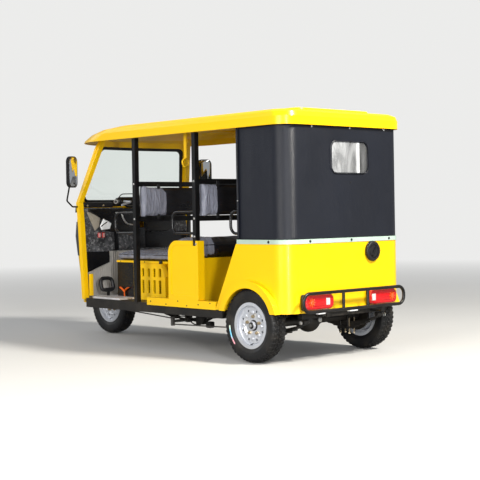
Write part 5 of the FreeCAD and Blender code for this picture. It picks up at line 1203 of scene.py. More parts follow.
class TRICYCLE_OT_wraps(bpy.types.Operator):
    """Clear film that is still on the seats"""

    bl_idname = "tricycle.wraps"
    bl_label = "Seat wraps"

    def execute(self, context):
        driver_low, driver_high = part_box("driver_cushion")
        bench_low, bench_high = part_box("bench_cushion")

        def on_driver_cushion(place, normal):
            return place.z > driver_low.z + FILM_EDGE and normal.z > -0.5

        def on_bench(place, normal):
            return place.z > bench_low.z + FILM_EDGE and normal.z > -0.5 and place.y > bench_high.y - 0.205

        def on_driver_back(place, normal):
            return place.y > 0.316 + max(0.0, place.z - 1.28) and abs(normal.z) < 0.8

        def on_middle_back(place, normal):
            return place.y > 0.416 and abs(normal.z) < 0.8

        wrap("driver_cushion_wrap", "driver_cushion_cover", on_driver_cushion, 0.9)
        wrap("bench_cushion_wrap", "bench_cushion_cover", on_bench, 0.4)
        wrap("driver_back_wrap", "driver_back_cover", on_driver_back, 0.3)
        wrap("middle_back_wrap", "middle_back_cover", on_middle_back, 0.25)
        return {"FINISHED"}


def tub_path(offset, start_x, step):
    """Plan of the tub's outside from its left front edge round the back to the right: point, outward."""
    low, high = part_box("rear_curtain")
    corner = 0.130 + offset
    left = high.y + offset
    rear = low.x - offset
    front = at(start_x, 0, 0).x
    # Straight runs have two ends; bends have a centre, the turn that they start at, and a radius
    runs = [
        (Vector((front, left)), Vector((rear + corner, left)), None),
        (Vector((rear + corner, left - corner)), 90.0, corner),
        (Vector((rear, left - corner)), Vector((rear, corner - left)), None),
        (Vector((rear + corner, corner - left)), 180.0, corner),
        (Vector((rear + corner, -left)), Vector((front, -left)), None),
    ]
    points = []
    for first, second, radius in runs:
        if radius is None:
            count = max(2, round((second - first).length / step))
            along = (second - first).normalized()
            outward = Vector((along.y, -along.x))
            points += [(first.lerp(second, i / count), outward) for i in range(count)]
        else:
            count = max(4, round(math.pi / 2 * radius / step))
            for i in range(count):
                angle = math.radians(second + 90.0 * i / count)
                outward = Vector((math.cos(angle), math.sin(angle)))
                points.append((first + outward * radius, outward))
    points.append((Vector((front, -left)), Vector((0, -1))))
    return points


class Window:
    """Rounded rectangle that is cut in the curtain."""

    def __init__(self, low, high, corner):
        self.centre_y = (low.y + high.y) / 2
        self.centre_z = (low.z + high.z) / 2
        self.half_y = (high.y - low.y) / 2
        self.half_z = (high.z - low.z) / 2
        self.corner = corner

    def distance(self, y, z):
        """Distance outside the window's edge, negative inside."""
        past_y = abs(y - self.centre_y) - (self.half_y - self.corner)
        past_z = abs(z - self.centre_z) - (self.half_z - self.corner)
        outside = math.hypot(max(past_y, 0), max(past_z, 0))
        return outside + min(max(past_y, past_z), 0) - self.corner

    def outline(self, inset, x):
        """Points round the window at a depth, moved in by inset."""
        low = Vector((self.centre_y - self.half_y, self.centre_z - self.half_z))
        high = Vector((self.centre_y + self.half_y, self.centre_z + self.half_z))
        points = rounded_outline(low, high, inset, self.corner - inset, 8)
        return [Vector((x, point.x, point.y)) for point in points]


CURTAIN_ROWS = 68
# The curtain's rear face reaches this far ahead of its rearmost point
REAR_FACE = 0.02
# Step over which the slope toward the window's edge is taken
PROBE = 0.001


def hang(bm, path, low, high, fold_depth):
    """Hang a sheet along a plan path with soft folds, and tell its length along the path."""
    run = 0.0
    last = path[0][0]
    grid = []
    for point, outward in path:
        run += (point - last).length
        last = point
        column = []
        for j in range(CURTAIN_ROWS + 1):
            share = j / CURTAIN_ROWS
            z = low.z + (high.z - low.z) * share
            slack = math.sin(math.pi * share) ** 0.7
            broad = noise.noise(Vector((run * 2.3, z * 0.9, 4.0)))
            fine = noise.noise(Vector((run * 9.0, z * 2.5, 1.0)))
            shift = fold_depth * slack * (broad * 0.75 + fine * 0.25)
            spot = point + outward * min(shift, 0.0012)
            column.append(bm.verts.new((spot.x, spot.y, z)))
        grid.append(column)
    for a, b in zip(grid, grid[1:]):
        for j in range(CURTAIN_ROWS):
            bm.faces.new((a[j], b[j], b[j + 1], a[j + 1]))
    return run


def cut_window(bm, rearmost, window):
    """Take the sheet away inside the window and pull the cut edge onto the window's outline."""
    rear = [vert for vert in bm.verts if vert.co.x < rearmost + REAR_FACE]
    gone = [vert for vert in rear if window.distance(vert.co.y, vert.co.z) < -0.004]
    bmesh.ops.delete(bm, geom=gone, context="VERTS")
    for vert in bm.verts:
        if vert.co.x < rearmost + REAR_FACE and vert.is_boundary:
            gap = window.distance(vert.co.y, vert.co.z)
            if abs(gap) < 0.02:
                slope_y = window.distance(vert.co.y + PROBE, vert.co.z) - gap
                slope_z = window.distance(vert.co.y, vert.co.z + PROBE) - gap
                vert.co.y -= slope_y / PROBE * gap
                vert.co.z -= slope_z / PROBE * gap


def curtain_hems(path, low, high):
    """Doubled edges at the curtain's two ends."""
    hems = Shop()
    for point, outward in (path[1], path[-2]):
        base = Vector((point.x, point.y, 0)) + Vector((outward.x, outward.y, 0)) * 0.0008
        line = [base + UP * z - ALONG * 0.011 for z in (low.z + 0.002, high.z - 0.002)]
        hems.sweep(line, 0.0, segments=8, flat=(0.012, 0.0016))
    piece("curtain_seams", hems.mesh("seams"), "curtain", "chassis")


def curtain_fixings(low, high):
    """Screws of the trim strip and of the curtain's head, a stud and an eyelet."""
    trim_low, trim_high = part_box("curtain_trim")
    trim_z = (trim_low.z + trim_high.z) / 2
    places = [Vector((trim_low.x - 0.0005, y, trim_z)) for y in (0.396, -0.044, -0.470)]
    screws("trim_screws", places, -ALONG, 0.0105, "plastic", "chassis")
    for name, side in (("left", 1), ("right", -1)):
        place = at(-0.209, side * (trim_high.y + 0.0005), trim_z)
        screws(f"trim_screws_{name}", [place], ACROSS * side, 0.0105, "plastic", "chassis")
    tops = [Vector((low.x - 0.0006, y, high.z - 0.010)) for y in (0.353, -0.052, -0.440)]
    screws("curtain_screws", tops, -ALONG, 0.0085, "zinc", "chassis")
    stud = [Vector((low.x - 0.0006, -0.053, 1.319))]
    screws("curtain_stud", stud, -ALONG, 0.0055, "plastic", "chassis")
    eyelet = [at(0.124, high.y + 0.0006, 1.194)]
    screws("curtain_eyelet", eyelet, ACROSS, 0.0060, "zinc", "chassis")


def window_border(rearmost, window):
    """Welded strip round the window and the raised edge inside it."""
    outline = window.outline(-0.006, rearmost + 0.0006)
    strip = Shop().sweep(outline, 0.0, closed=True, segments=8, flat=(0.0018, 0.011))
    piece("window_border", strip.mesh("border"), "curtain", "chassis")
    edge = Shop().sweep(window.outline(0.004, rearmost + 0.0012), 0.0022, closed=True, segments=8)
    piece("window_edge", edge.mesh("edge"), "curtain", "chassis")


class TRICYCLE_OT_curtain(bpy.types.Operator):
    """Vinyl curtain with its window, seams and hems"""

    bl_idname = "tricycle.curtain"
    bl_label = "Curtain"

    def execute(self, context):
        sizes = context.scene.tricycle_sizes
        low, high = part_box("rear_curtain")
        window = Window(*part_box("rear_window"), 0.055)
        path = tub_path(-0.0015, 0.135, 0.012)
        bm = bmesh.new()
        width = hang(bm, path, low, high, sizes.fold_depth)
        cut_window(bm, low.x, window)
        mesh = bpy.data.meshes.new("curtain")
        bm.to_mesh(mesh)
        bm.free()
        cloth = piece("rear_curtain_vinyl", mesh, "curtain", "chassis",
                      ["rear_curtain"], ALL_SMOOTH)
        wall = cloth.modifiers.new("thickness", "SOLIDIFY")
        wall.thickness = 0.0022
        wall.offset = -1
        curtain_hems(path, low, high)
        curtain_fixings(low, high)
        window_border(low.x, window)
        return {"FINISHED"}


def tail_lens(name, low, high):
    """Red lens with a rounded face over its black housing."""
    centre = (low + high) / 2
    height = high.z - low.z
    width = high.y - low.y
    housing = Shop()
    housing.block(Vector((high.x - 0.012, centre.y, centre.z)), (0.024, width, height), 0.010, segments=3)
    piece(f"tail_lamp_base_{name}", housing.mesh("base"), "plastic", "chassis")
    corner = height / 2 - 0.020
    outline = rounded_outline(Vector((low.y, low.z)), Vector((high.y, high.z)), 0.003, corner, 8)
    rings = []
    # Depth from the lamp's face, inset of the outline
    for depth, inset in ((0.034, 0.0), (0.012, 0.0), (0.005, 0.003), (0.0012, 0.009), (0.0, 0.016)):
        ring = []
        for point in outline:
            y = centre.y + (point.x - centre.y) * (1 - 2 * inset / width)
            z = centre.z + (point.y - centre.z) * (1 - 2 * inset / height)
            ring.append((low.x + depth, y, z))
        rings.append(ring)
    lens = Shop().loft(rings).mesh("lens")
    piece(f"tail_lens_{name}", lens, "red", "chassis", ["tail_lamps"], 0.9)


def tail_ribs(name, side, low, high):
    """Three raised ribs across the middle of the lens."""
    centre = (low + high) / 2
    rib = Shop().block(Vector((0, 0, 0)), (0.004, (high.y - low.y) * 0.34, 0.0075), 0.0018).mesh("rib")
    start = (low.x - 0.0004, centre.y + side * 0.012, centre.z - 0.024)
    ribs = grown("ribs", rib, TREES["row"], "red", count=3, start=start, step=(0, 0, 0.024))
    piece(f"tail_ribs_{name}", ribs, "red", "chassis")


def tail_star(name, side, low, high):
    """Orange reflector with eight rays, near the lens's outer end."""
    centre = (low + high) / 2
    half = (high.y - low.y) / 2
    star_at = Vector((low.x + 0.0005, centre.y + side * (half - 0.062), centre.z))
    profile = [(0.0, 0.019), (0.005, 0.018), (0.0065, 0.013), (0.0055, 0.009), (0.0085, 0.005), (0.0090, 0.0)]
    star = Shop().lathe(profile, star_at, -ALONG, 16)
    piece(f"tail_reflector_{name}", star.mesh("star"), "orange", "chassis", (), 0.2)
    ray = Shop().block(Vector((0, 0, 0.0255)), (0.012, 0.0075, 0.019), 0.0020).mesh("ray")
    rays = round_axle("rays", ray, "orange", 8, star_at, ALONG)
    piece(f"tail_rays_{name}", rays, "orange", "chassis")


def tail_square(name, side, low, high, inner):
    """White square at the lens's inner end, inner metres from it."""
    centre = (low + high) / 2
    half = (high.y - low.y) / 2
    place = Vector((low.x + 0.0005, centre.y - side * (half - inner), centre.z))
    square = Shop().block(place, (0.009, 0.038, 0.052), 0.003)
    piece(f"tail_white_{name}", square.mesh("square"), "white_lens", "chassis")


class TRICYCLE_OT_tail_lamps(bpy.types.Operator):
    """Red tail lamps with an orange reflector and a white square"""

    bl_idname = "tricycle.tail_lamps"
    bl_label = "Tail lamps"

    def execute(self, context):
        right, left = sorted(solid_parts("tail_lamps"), key=lambda part: part[0].y)
        for name, side, (low, high), inner in (("right", -1, right, 0.030), ("left", 1, left, 0.071)):
            tail_lens(name, low, high)
            tail_ribs(name, side, low, high)
            tail_star(name, side, low, high)
            tail_square(name, side, low, high, inner)
        return {"FINISHED"}


class TRICYCLE_OT_fuel_cap(bpy.types.Operator):
    """Ridged grip and bead of the filler cap"""

    bl_idname = "tricycle.fuel_cap"
    bl_label = "Filler cap"

    def execute(self, context):
        low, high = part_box("fuel_cap")
        centre = Vector((low.x, (low.y + high.y) / 2, (low.z + high.z) / 2))
        radius = (high.z - low.z) / 2
        rim = [(-0.024, radius + 0.004), (-0.014, radius + 0.004), (-0.012, radius)]
        bead = [(0.0, radius * 0.72), (0.003, radius * 0.70), (0.003, radius * 0.62), (0.0, radius * 0.60)]
        grip = Shop().lathe(rim, centre, -ALONG, 48).lathe(bead, centre, -ALONG, 48)
        grip.block(centre - ALONG * 0.004, (0.014, 0.020, radius * 1.15), 0.004, Matrix.Rotation(0.5, 3, "X"))
        piece("fuel_cap_grip", grip.mesh("rim"), "gloss_plastic", "chassis")
        tooth = Shop().block(Vector((0, 0, radius)), (0.014, 0.006, 0.006), 0.0015).mesh("tooth")
        teeth = round_axle("teeth", tooth, "plastic", 24, centre + ALONG * 0.010, ALONG)
        piece("fuel_cap_ridges", teeth, "plastic", "chassis")
        return {"FINISHED"}


def head_lamp(name, low, high):
    """One headlamp: ring, reflector bowl, back shell and lens, all turned about its axle."""
    centre = Vector((high.x, (low.y + high.y) / 2, (low.z + high.z) / 2))
    radius = (high.z - low.z) / 2
    ring = [(-0.116, radius - 0.003), (-0.004, radius + 0.001), (0.001, radius - 0.004),
            (0.001, radius - 0.010), (-0.006, radius - 0.012)]
    bowl = [(-0.003, radius - 0.011), (-0.020, radius * 0.72), (-0.040, radius * 0.42), (-0.048, 0.016),
            (-0.030, 0.013), (-0.020, 0.0)]
    back = [(-0.002, radius - 0.009), (-0.022, radius * 0.80), (-0.075, radius * 0.5), (-0.112, 0.030),
            (-0.118, 0.0)]
    lens = [(-0.002, radius - 0.010), (0.000, radius * 0.7), (0.003, radius * 0.4), (0.004, 0.0)]
    # Part, profile, how far ahead it is set, finish, slot, nodes that it stands for
    for part, profile, ahead, finish, slot, nodes in (
        ("ring", ring, 0.0, "zinc", "steel", ()),
        ("bowl", bowl, 0.006, "mirror", "steel", ["front_lamps"]),
        ("back", back, 0.0, "plastic", "black_plastic", ()),
        ("lens", lens, -0.001, "clear_lens", "lamp", ()),
    ):
        turned = Shop().lathe(profile, centre + ALONG * ahead, ALONG, 48)
        piece(f"head_lamp_{part}_{name}", turned.mesh(part), finish, "chassis", nodes)


class TRICYCLE_OT_head_lamps(bpy.types.Operator):
    """Headlamp rings, reflectors and lenses"""

    bl_idname = "tricycle.head_lamps"
    bl_label = "Headlamps"

    def execute(self, context):
        right, left = sorted(solid_parts("front_lamps"), key=lambda part: part[0].y)
        head_lamp("right", *right)
        head_lamp("left", *left)
        return {"FINISHED"}


class TRICYCLE_OT_mirror_glass(bpy.types.Operator):
    """Glass let into the mirrors' rear faces"""

    bl_idname = "tricycle.mirror_glass"
    bl_label = "Mirror glass"

    def execute(self, context):
        outline = rounded_outline(Vector((-0.071, -0.135)), Vector((0.071, 0.135)), 0.010, 0.040, 8)
        for name, side in (("right", -1), ("left", 1)):
            centre = at(2.140, side * 0.750, 1.480)
            turn = Matrix.Rotation(side * math.radians(25), 3, "Z")
            rings = []
            # Depth behind the mirror's middle, scale of the outline
            for depth, scale in ((-0.0125, 1.0), (-0.0170, 1.0), (-0.0178, 0.985)):
                rings.append([centre + turn @ Vector((depth, point.x * scale, point.y * scale))
                              for point in outline])
            glass = Shop().loft(rings).mesh("glass")
            piece(f"mirror_glass_{name}", glass, "mirror", "chassis", (), 0.4)
        return {"FINISHED"}


def grip(name, start, inward):
    """Ribbed rubber grip and the steel ring at its outer end."""
    profile = [(0.0, 0.0), (-0.006, 0.010), (-0.006, 0.021), (0.002, 0.022)]
    for i in range(9):
        rib = 0.006 + i * 0.012
        profile += [(rib, 0.0195), (rib + 0.002, 0.0178), (rib + 0.006, 0.0178), (rib + 0.008, 0.0195)]
    profile += [(0.116, 0.0205), (0.120, 0.0190), (0.120, 0.0)]
    sleeve = Shop().lathe(profile, start, inward, 24)
    piece(f"grip_{name}", sleeve.mesh("grip"), "rubber", "steering")
    profile = [(-0.0085, 0.010), (-0.0115, 0.012), (-0.0115, 0.018), (-0.0085, 0.0205)]
    ring = Shop().lathe(profile, start, inward, 24, closed=True)
    piece(f"grip_ring_{name}", ring.mesh("ring"), "steel", "steering")


def hand_lever(name, side):
    """Flat lever that leaves the bar and runs outwards beside the grip."""
    route = [at(2.130, side * 0.206, 1.222), at(2.040, side * 0.188, 1.217), at(1.985, side * 0.335, 1.188)]
    lever = Shop().sweep(bent(route, 0.02), 0.0, segments=10, flat=(0.0060, 0.0090))
    piece(f"hand_lever_{name}", lever.mesh("lever"), "rim", "steering")


def switch_box(name, side, perch):
    """Switch housing beside the grip, with the cable that runs from it to the middle."""
    box = Shop().block(perch + Vector((0.004, side * -0.004, 0.006)), (0.046, 0.034, 0.046), 0.008)
    route = [perch + Vector((0.0, 0, 0.026)), perch + Vector((-0.01, side * -0.03, 0.062)),
             at(2.075, side * 0.110, 1.290), at(2.120, side * 0.030, 1.262)]
    box.sweep(bent(route, 0.05, 6), 0.0042, segments=8)
    piece(f"switch_box_{name}", box.mesh("box"), "plastic", "steering")


class TRICYCLE_OT_controls(bpy.types.Operator):
    """Grips, hand levers and switch boxes of the handlebar"""

    bl_idname = "tricycle.controls"
    bl_label = "Controls"

    def execute(self, context):
        low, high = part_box("handlebar")
        for name, side in (("left", 1), ("right", -1)):
            grip_end = Vector((low.x + 0.018, side * 0.380, 1.220))
            shoulder = at(2.145, side * 0.245, 1.2285)
            inward = (shoulder - grip_end).normalized()
            grip(name, grip_end, inward)
            hand_lever(name, side)
            switch_box(name, side, grip_end + inward * 0.138)
        return {"FINISHED"}


def oblong(right, left, bottom, top):
    """Corners of an upright rectangle across the vehicle."""
    return [(right, bottom), (left, bottom), (left, top), (right, top)]


def dash_cowl(face):
    """Black cowl over the dashboard: two wings, a column, a rib, and a right-hand box that is painted shade
    over the board's shaded right part.
    """
    cowl = Shop()
    front = face - 0.0015
    wing = [(0.062, 1.160), (0.545, 1.160), (0.545, 1.135), (0.487, 1.112), (0.421, 1.083),
            (0.374, 1.043), (0.366, 0.965), (0.300, 0.950), (0.062, 0.950)]
    cowl.plate(wing, face - 0.028, front, 0.009)
    cowl.plate([(-y, z) for y, z in wing], face - 0.028, front, 0.009)
    cowl.plate(oblong(-0.066, 0.066, 0.800, 0.985), face - 0.022, front, 0.006)
    # Right-hand box: black plate over the dashboard's right part, painted shade where the marbled board lies
    # in shadow
    cowl.plate(oblong(-0.560, -0.075, 0.800, 0.945), face - 0.016, front, 0.006)
    cowl.plate(oblong(0.226, 0.268, 0.788, 0.949), face - 0.007, face - 0.0010, 0.002)
    piece("dash_cowl", cowl.mesh("cowl"), "gloss_plastic", "chassis")


def dash_infill(face):
    """Marbled board below the cowl's left wing."""
    infill = Shop().plate(oblong(0.064, 0.228, 0.790, 0.955), face - 0.006, face - 0.0015, 0.002)
    piece("dash_infill", infill.mesh("infill"), "marble", "chassis")


def dash_roll():
    """Padded roll along the dashboard's top, open where the turned handlebar passes."""
    roll = Shop()
    for side in (-1, 1):
        roll.block(at(2.240, side * 0.408, 1.196), (0.026, 0.316, 0.046), 0.008)
        roll.block(at(2.293, side * 0.190, 1.193), (0.014, 0.140, 0.044), 0.003)
    piece("dash_roll", roll.mesh("roll"), "plastic", "chassis")


def dash_board(face):
    """Beige board at the dashboard's left end with a bead down it."""
    outline = [(0.561, 1.128), (0.545, 1.132), (0.484, 1.108), (0.424, 1.078), (0.436, 1.005), (0.480, 0.966),
               (0.512, 1.030)]
    board = Shop().plate(outline, face - 0.008, face - 0.0010, 0.002)
    bead = [Vector((face - 0.010, 0.553, 1.124)), Vector((face - 0.012, 0.520, 1.100)),
            Vector((face - 0.010, 0.495, 1.068))]
    board.sweep(bead, 0.0035, segments=8)
    piece("dash_board", board.mesh("board"), "beige", "chassis")


def dash_lid(face):
    """White lid on the cowl and the black clip along its upper edge."""
    outline = [(0.405, 1.070), (0.370, 1.045), (0.325, 1.030), (0.343, 0.979), (0.430, 0.973), (0.444, 1.009)]
    lid = Shop().plate(outline, face - 0.042, face - 0.0290, 0.006)
    piece("dash_lid", lid.mesh("lid"), "white", "chassis")
    clip = [Vector((face - 0.043, 0.440, 1.004)), Vector((face - 0.043, 0.372, 1.044))]
    clip = Shop().sweep(clip, 0.004, segments=8)
    piece("dash_lid_clip", clip.mesh("edge"), "gloss_plastic", "chassis")


def warning_lamps(face):
    """Two upright lamps in red rims."""
    rims = Shop()
    lenses = Shop()
    for y in (0.444, 0.398):
        rims.block(Vector((face - 0.018, y, 0.926)), (0.006, 0.031, 0.044), 0.003)
        lenses.block(Vector((face - 0.022, y, 0.926)), (0.006, 0.022, 0.036), 0.003)
    piece("warning_lamp_rims", rims.mesh("rims"), "red", "chassis")
    piece("warning_lamps", lenses.mesh("lamps"), "pink_lens", "chassis")


def parking_brake_bar():
    """Bright bar that bends down and runs in below the dashboard."""
    route = [at(2.172, 0.268, 1.122), at(2.104, 0.252, 1.122), at(2.100, 0.237, 1.070),
             at(2.100, 0.203, 1.022), at(2.100, 0.085, 1.004)]
    brake = Shop().sweep(bent(route, 0.03), 0.0075)
    piece("parking_brake_bar", brake.mesh("bar"), "zinc", "chassis")


def pillar_fittings():
    """Flanges at the feet of the front pillars, and a black strip up the right one that is painted shade over
    the yellow pillar.
    """
    flanges = Shop()
    for side in (-1, 1):
        flanges.block(at(2.124, side * 0.575, 0.497), (0.010, 0.040, 0.190), 0.002)
    piece("pillar_flanges", flanges.mesh("flange"), "body", "chassis")
    # Black strip on the right pillar's inner face: painted shade, where the yellow pillar lies in shadow
    trim = Shop().block(at(2.150, -0.560, 0.80), (0.030, 0.030, 0.72), 0.006)
    piece("right_pillar_trim", trim.mesh("trim"), "plastic", "chassis")


class TRICYCLE_OT_dashboard(bpy.types.Operator):
    """Black cowl, trim boards, warning lamps and the white lid of the dashboard"""

    bl_idname = "tricycle.dashboard"
    bl_label = "Dashboard"

    def execute(self, context):
        low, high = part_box("dash_panel")
        face = low.x
        dash_cowl(face)
        dash_infill(face)
        dash_roll()
        dash_board(face)
        dash_lid(face)
        warning_lamps(face)
        bolts = [at(2.222, 0.532, 1.188), at(2.222, 0.36, 1.190)]
        screws("dash_bolts", bolts, -ALONG, 0.0085, "brass", "chassis")
        parking_brake_bar()
        pillar_fittings()
        return {"FINISHED"}


def brake_pedal_sleeve():
    """Thick rubber sleeve bent into a square loop round the pedal's plate."""
    x = at(2.072, 0, 0).x
    # Distance ahead of the pedal's middle, across and up
    corners = [(-0.012, 0.445, 0.449), (-0.012, 0.382, 0.449), (0.015, 0.382, 0.549), (0.015, 0.508, 0.549),
               (-0.012, 0.508, 0.449), (-0.012, 0.446, 0.449)]
    loop = bent([Vector((x + ahead, y, z)) for ahead, y, z in corners], 0.045, 6)
    sleeve = Shop().sweep(loop, 0.0165, segments=12)
    piece("brake_pedal_sleeve", sleeve.mesh("pad"), "rubber", "chassis")


def floor_lever():
    """Orange lever that stands on the mat and forks fore and aft."""
    lever = Shop()
    blade = (0.010, 0.006)
    fork = at(1.829, 0.436, 0.448)
    root = fork - UP * 0.006
    lever.sweep([at(1.826, 0.436, 0.401), fork], 0.0, segments=8, flat=blade)
    fore = bent([root, at(1.856, 0.436, 0.462), at(1.889, 0.436, 0.476)], 0.02)
    aft = bent([root, at(1.802, 0.436, 0.466), at(1.769, 0.436, 0.478)], 0.02)
    lever.sweep(fore, 0.0, segments=8, flat=blade)
    lever.sweep(aft, 0.0, segments=8, flat=blade)
    piece("floor_lever", lever.mesh("lever"), "orange_plastic", "chassis")


def seat_strap():
    """End of a seat strap that hangs beside the driver's seat, with its clasp."""
    strap = Shop()
    outer = [at(1.262, 0.468, 0.690), at(1.226, 0.476, 0.668), at(1.196, 0.478, 0.630),
             at(1.182, 0.480, 0.585)]
    inner = [at(1.232, 0.470, 0.664), at(1.212, 0.474, 0.612), at(1.190, 0.478, 0.590)]
    strap.sweep(bent(outer, 0.03), 0.0, segments=10, flat=(0.026, 0.006))
    strap.sweep(bent(inner, 0.03), 0.0, segments=10, flat=(0.020, 0.005))
    piece("seat_strap", strap.mesh("belt"), "webbing", "chassis")
    clasp = Shop().block(at(1.272, 0.470, 0.704), (0.034, 0.014, 0.030), 0.004)
    piece("seat_strap_clasp", clasp.mesh("clasp"), "plastic", "chassis")


class TRICYCLE_OT_floor_fittings(bpy.types.Operator):
    """Padded pedal, lever on the floor and the strap end beside the seat"""

    bl_idname = "tricycle.floor_fittings"
    bl_label = "Floor fittings"

    def execute(self, context):
        brake_pedal_sleeve()
        floor_lever()
        seat_strap()
        return {"FINISHED"}


# Fixings on both sides: name, finish, slot, radius, (station, height) of each, distance from the middle
SIDE_FIXINGS = [
    ("bar_bolts", "zinc", "steel", 0.0095,
     ((1.41, 1.355), (1.41, 1.066), (0.64, 1.355), (0.64, 1.066), (0.64, 0.925)), 0.6306),
    ("panel_bolts", "zinc", "steel", 0.0085, ((0.612, 0.868),), 0.6396),
    ("sill_bolts", "plastic", "black_plastic", 0.0060,
     ((0.46, 0.417), (0.60, 0.400), (0.74, 0.385), (0.85, 0.416), (1.00, 0.385), (1.20, 0.400)), 0.6372),
    ("seat_lip_bolts", "plastic", "black_plastic", 0.0060, ((1.50, 0.704), (1.84, 0.704)), 0.4622),
]


def backrest_clips():
    """Clips that hold the two front backrests to their bars, on the left."""
    clips = Shop()
    for x, y in ((1.383, 0.396), (0.612, 0.412)):
        for z in (1.337, 1.084):
            clips.block(at(x - 0.003, y, z), (0.012, 0.026, 0.040), 0.003)
    piece("backrest_clips", clips.mesh("clips"), "plastic", "chassis")


def spring_rods():
    """Long bolts of the rear springs' clamps, with a nut below each."""
    nut = [(0.0, 0.0095), (0.009, 0.0095), (0.010, 0.007), (0.010, 0.0)]
    rods = Shop()
    for side in (-1, 1):
        for x in (-0.047, 0.047):
            for y in (0.372, 0.428):
                rods.sweep([at(x, side * y, 0.138), at(x, side * y, 0.262)], 0.0055, segments=8)
                rods.lathe(nut, at(x, side * y, 0.146), -UP, 6)
    piece("spring_rods", rods.mesh("rods"), "brass", "chassis")


def shackle_bolts():
    """Bolt heads at the springs' ends and the plug in the differential's cover."""
    head = [(0.0, 0.016), (0.010, 0.016), (0.012, 0.010), (0.016, 0.009), (0.017, 0.0)]
    plug = [(0.0, 0.020), (0.006, 0.020), (0.008, 0.012), (0.008, 0.0)]
    bolts = Shop()
    for side in (-1, 1):
        for x in (-0.335, 0.405):
            bolts.lathe(head, at(x, side * 0.452, 0.300), ACROSS * side, 6)
    bolts.lathe(plug, at(-0.123, 0.040, 0.282), -ALONG, 16)
    piece("shackle_bolts", bolts.mesh("bolts"), "zinc", "chassis")


def shift_linkage():
    """Two bent rods of the gear linkage below the floor and the levers on them."""
    linkage = Shop()
    rod = [at(1.52, 0.300, 0.300), at(1.44, 0.300, 0.262), at(1.20, 0.300, 0.232), at(0.93, 0.300, 0.222),
           at(0.82, 0.300, 0.262), at(0.80, 0.300, 0.330)]
    thin_rod = [at(1.38, 0.345, 0.330), at(1.34, 0.345, 0.250), at(1.10, 0.340, 0.262),
                at(1.02, 0.340, 0.196), at(0.90, 0.340, 0.205), at(0.86, 0.340, 0.330)]
    linkage.sweep(bent(rod, 0.04), 0.009, segments=10)
    linkage.sweep(bent(thin_rod, 0.05), 0.005, segments=8)
    # Station and height of each lever, its length and its height
    for x, z, long, tall in ((1.30, 0.268, 0.07, 0.075), (1.12, 0.240, 0.045, 0.060),
                             (0.96, 0.236, 0.090, 0.070), (0.85, 0.205, 0.060, 0.050)):
        linkage.block(at(x, 0.305, z), (long, 0.050, tall), 0.008)
    piece("shift_linkage", linkage.mesh("linkage"), "chassis", "chassis")


def guard_stays():
    """Pale blocks between the rear guard and the tub."""
    stays = Shop()
    stays.block(at(-0.392, 0.283, 0.363), (0.030, 0.120, 0.012), 0.003)
    stays.block(at(-0.392, -0.036, 0.363), (0.030, 0.090, 0.012), 0.003)
    piece("guard_stays", stays.mesh("stays"), "white", "chassis")


class TRICYCLE_OT_fixings(bpy.types.Operator):
    """Bolts of the bars, panels and sills, clips of the backrests and what shows below the floor"""

    bl_idname = "tricycle.fixings"
    bl_label = "Fixings"

    def execute(self, context):
        for name, finish, slot, radius, places, far in SIDE_FIXINGS:
            for word, side in (("left", 1), ("right", -1)):
                spots = [at(x, side * far, z) for x, z in places]
                screws(f"{name}_{word}", spots, ACROSS * side, radius, finish, "chassis")
        backrest_clips()
        spring_rods()
        shackle_bolts()
        shift_linkage()
        guard_stays()
        return {"FINISHED"}


def stage_floor():
    """Wide round floor."""
    floor = bmesh.new()
    bmesh.ops.create_circle(floor, cap_ends=True, segments=96, radius=40.0)
    mesh = bpy.data.meshes.new("floor")
    floor.to_mesh(mesh)
    floor.free()
    mesh.materials.append(pale_plaster("stage_floor", (0.62, 0.615, 0.60)))
    link(bpy.data.objects.new("stage_floor", mesh))


# Lamps: name, shape, size, power, colour, place, point that it is turned to
LAMPS = [
    ("key", "DISK", (1.6, 1.6), 1750.0, (1.0, 0.96, 0.88), (-8.6, -1.4, 8.2), (0, 0, 0.8)),
    ("fill", "DISK", (5.0, 5.0), 520.0, (1.0, 0.97, 0.92), (-3.0, 8.8, 3.4), (0, 0, 0.8)),
    ("front", "DISK", (5.0, 5.0), 120.0, (1.0, 1.0, 1.0), (8.0, 3.0, 5.0), (0, 0, 0.8)),
    ("strip", "RECTANGLE", (0.6, 3.6), 320.0, (1.0, 1.0, 1.0), (-7.5, 4.2, 2.1), (-1.55, 0.6, 1.3)),
]


def area_lamps():
    """Warm key from behind, wide soft fills, and a tall strip that the curtain's corner mirrors."""
    for name, shape, size, power, colour, place, target in LAMPS:
        lamp = bpy.data.lights.new(name, "AREA")
        lamp.shape = shape
        lamp.size, lamp.size_y = size
        lamp.energy = power
        lamp.color = colour
        holder = link(bpy.data.objects.new(name, lamp))
        holder.location = place
        aim = Vector(target) - holder.location
        holder.rotation_euler = aim.to_track_quat("-Z", "Y").to_euler()


def sky(scene):
    """Dim bluish sky that lights, with an even backdrop where the camera looks, through film too."""
    world = bpy.data.worlds.new("sky")
    world.use_nodes = True
    tree = world.node_tree
    glow = tree.nodes["Background"]
    glow.inputs["Color"].default_value = (0.90, 0.94, 1.0, 1.0)
    glow.inputs["Strength"].default_value = 0.36
    seen = tree.nodes.new("ShaderNodeBackground")
    seen.inputs["Color"].default_value = (*BACKDROP, 1.0)
    seen.inputs["Strength"].default_value = 1.0
    path = tree.nodes.new("ShaderNodeLightPath")
    either = tree.nodes.new("ShaderNodeMath")
    either.operation = "MAXIMUM"
    pick = tree.nodes.new("ShaderNodeMixShader")
    tree.links.new(path.outputs["Is Camera Ray"], either.inputs[0])
    tree.links.new(path.outputs["Is Transmission Ray"], either.inputs[1])
    tree.links.new(either.outputs[0], pick.inputs[0])
    tree.links.new(glow.outputs[0], pick.inputs[1])
    tree.links.new(seen.outputs[0], pick.inputs[2])
    tree.links.new(pick.outputs[0], tree.nodes["World Output"].inputs["Surface"])
    scene.world = world


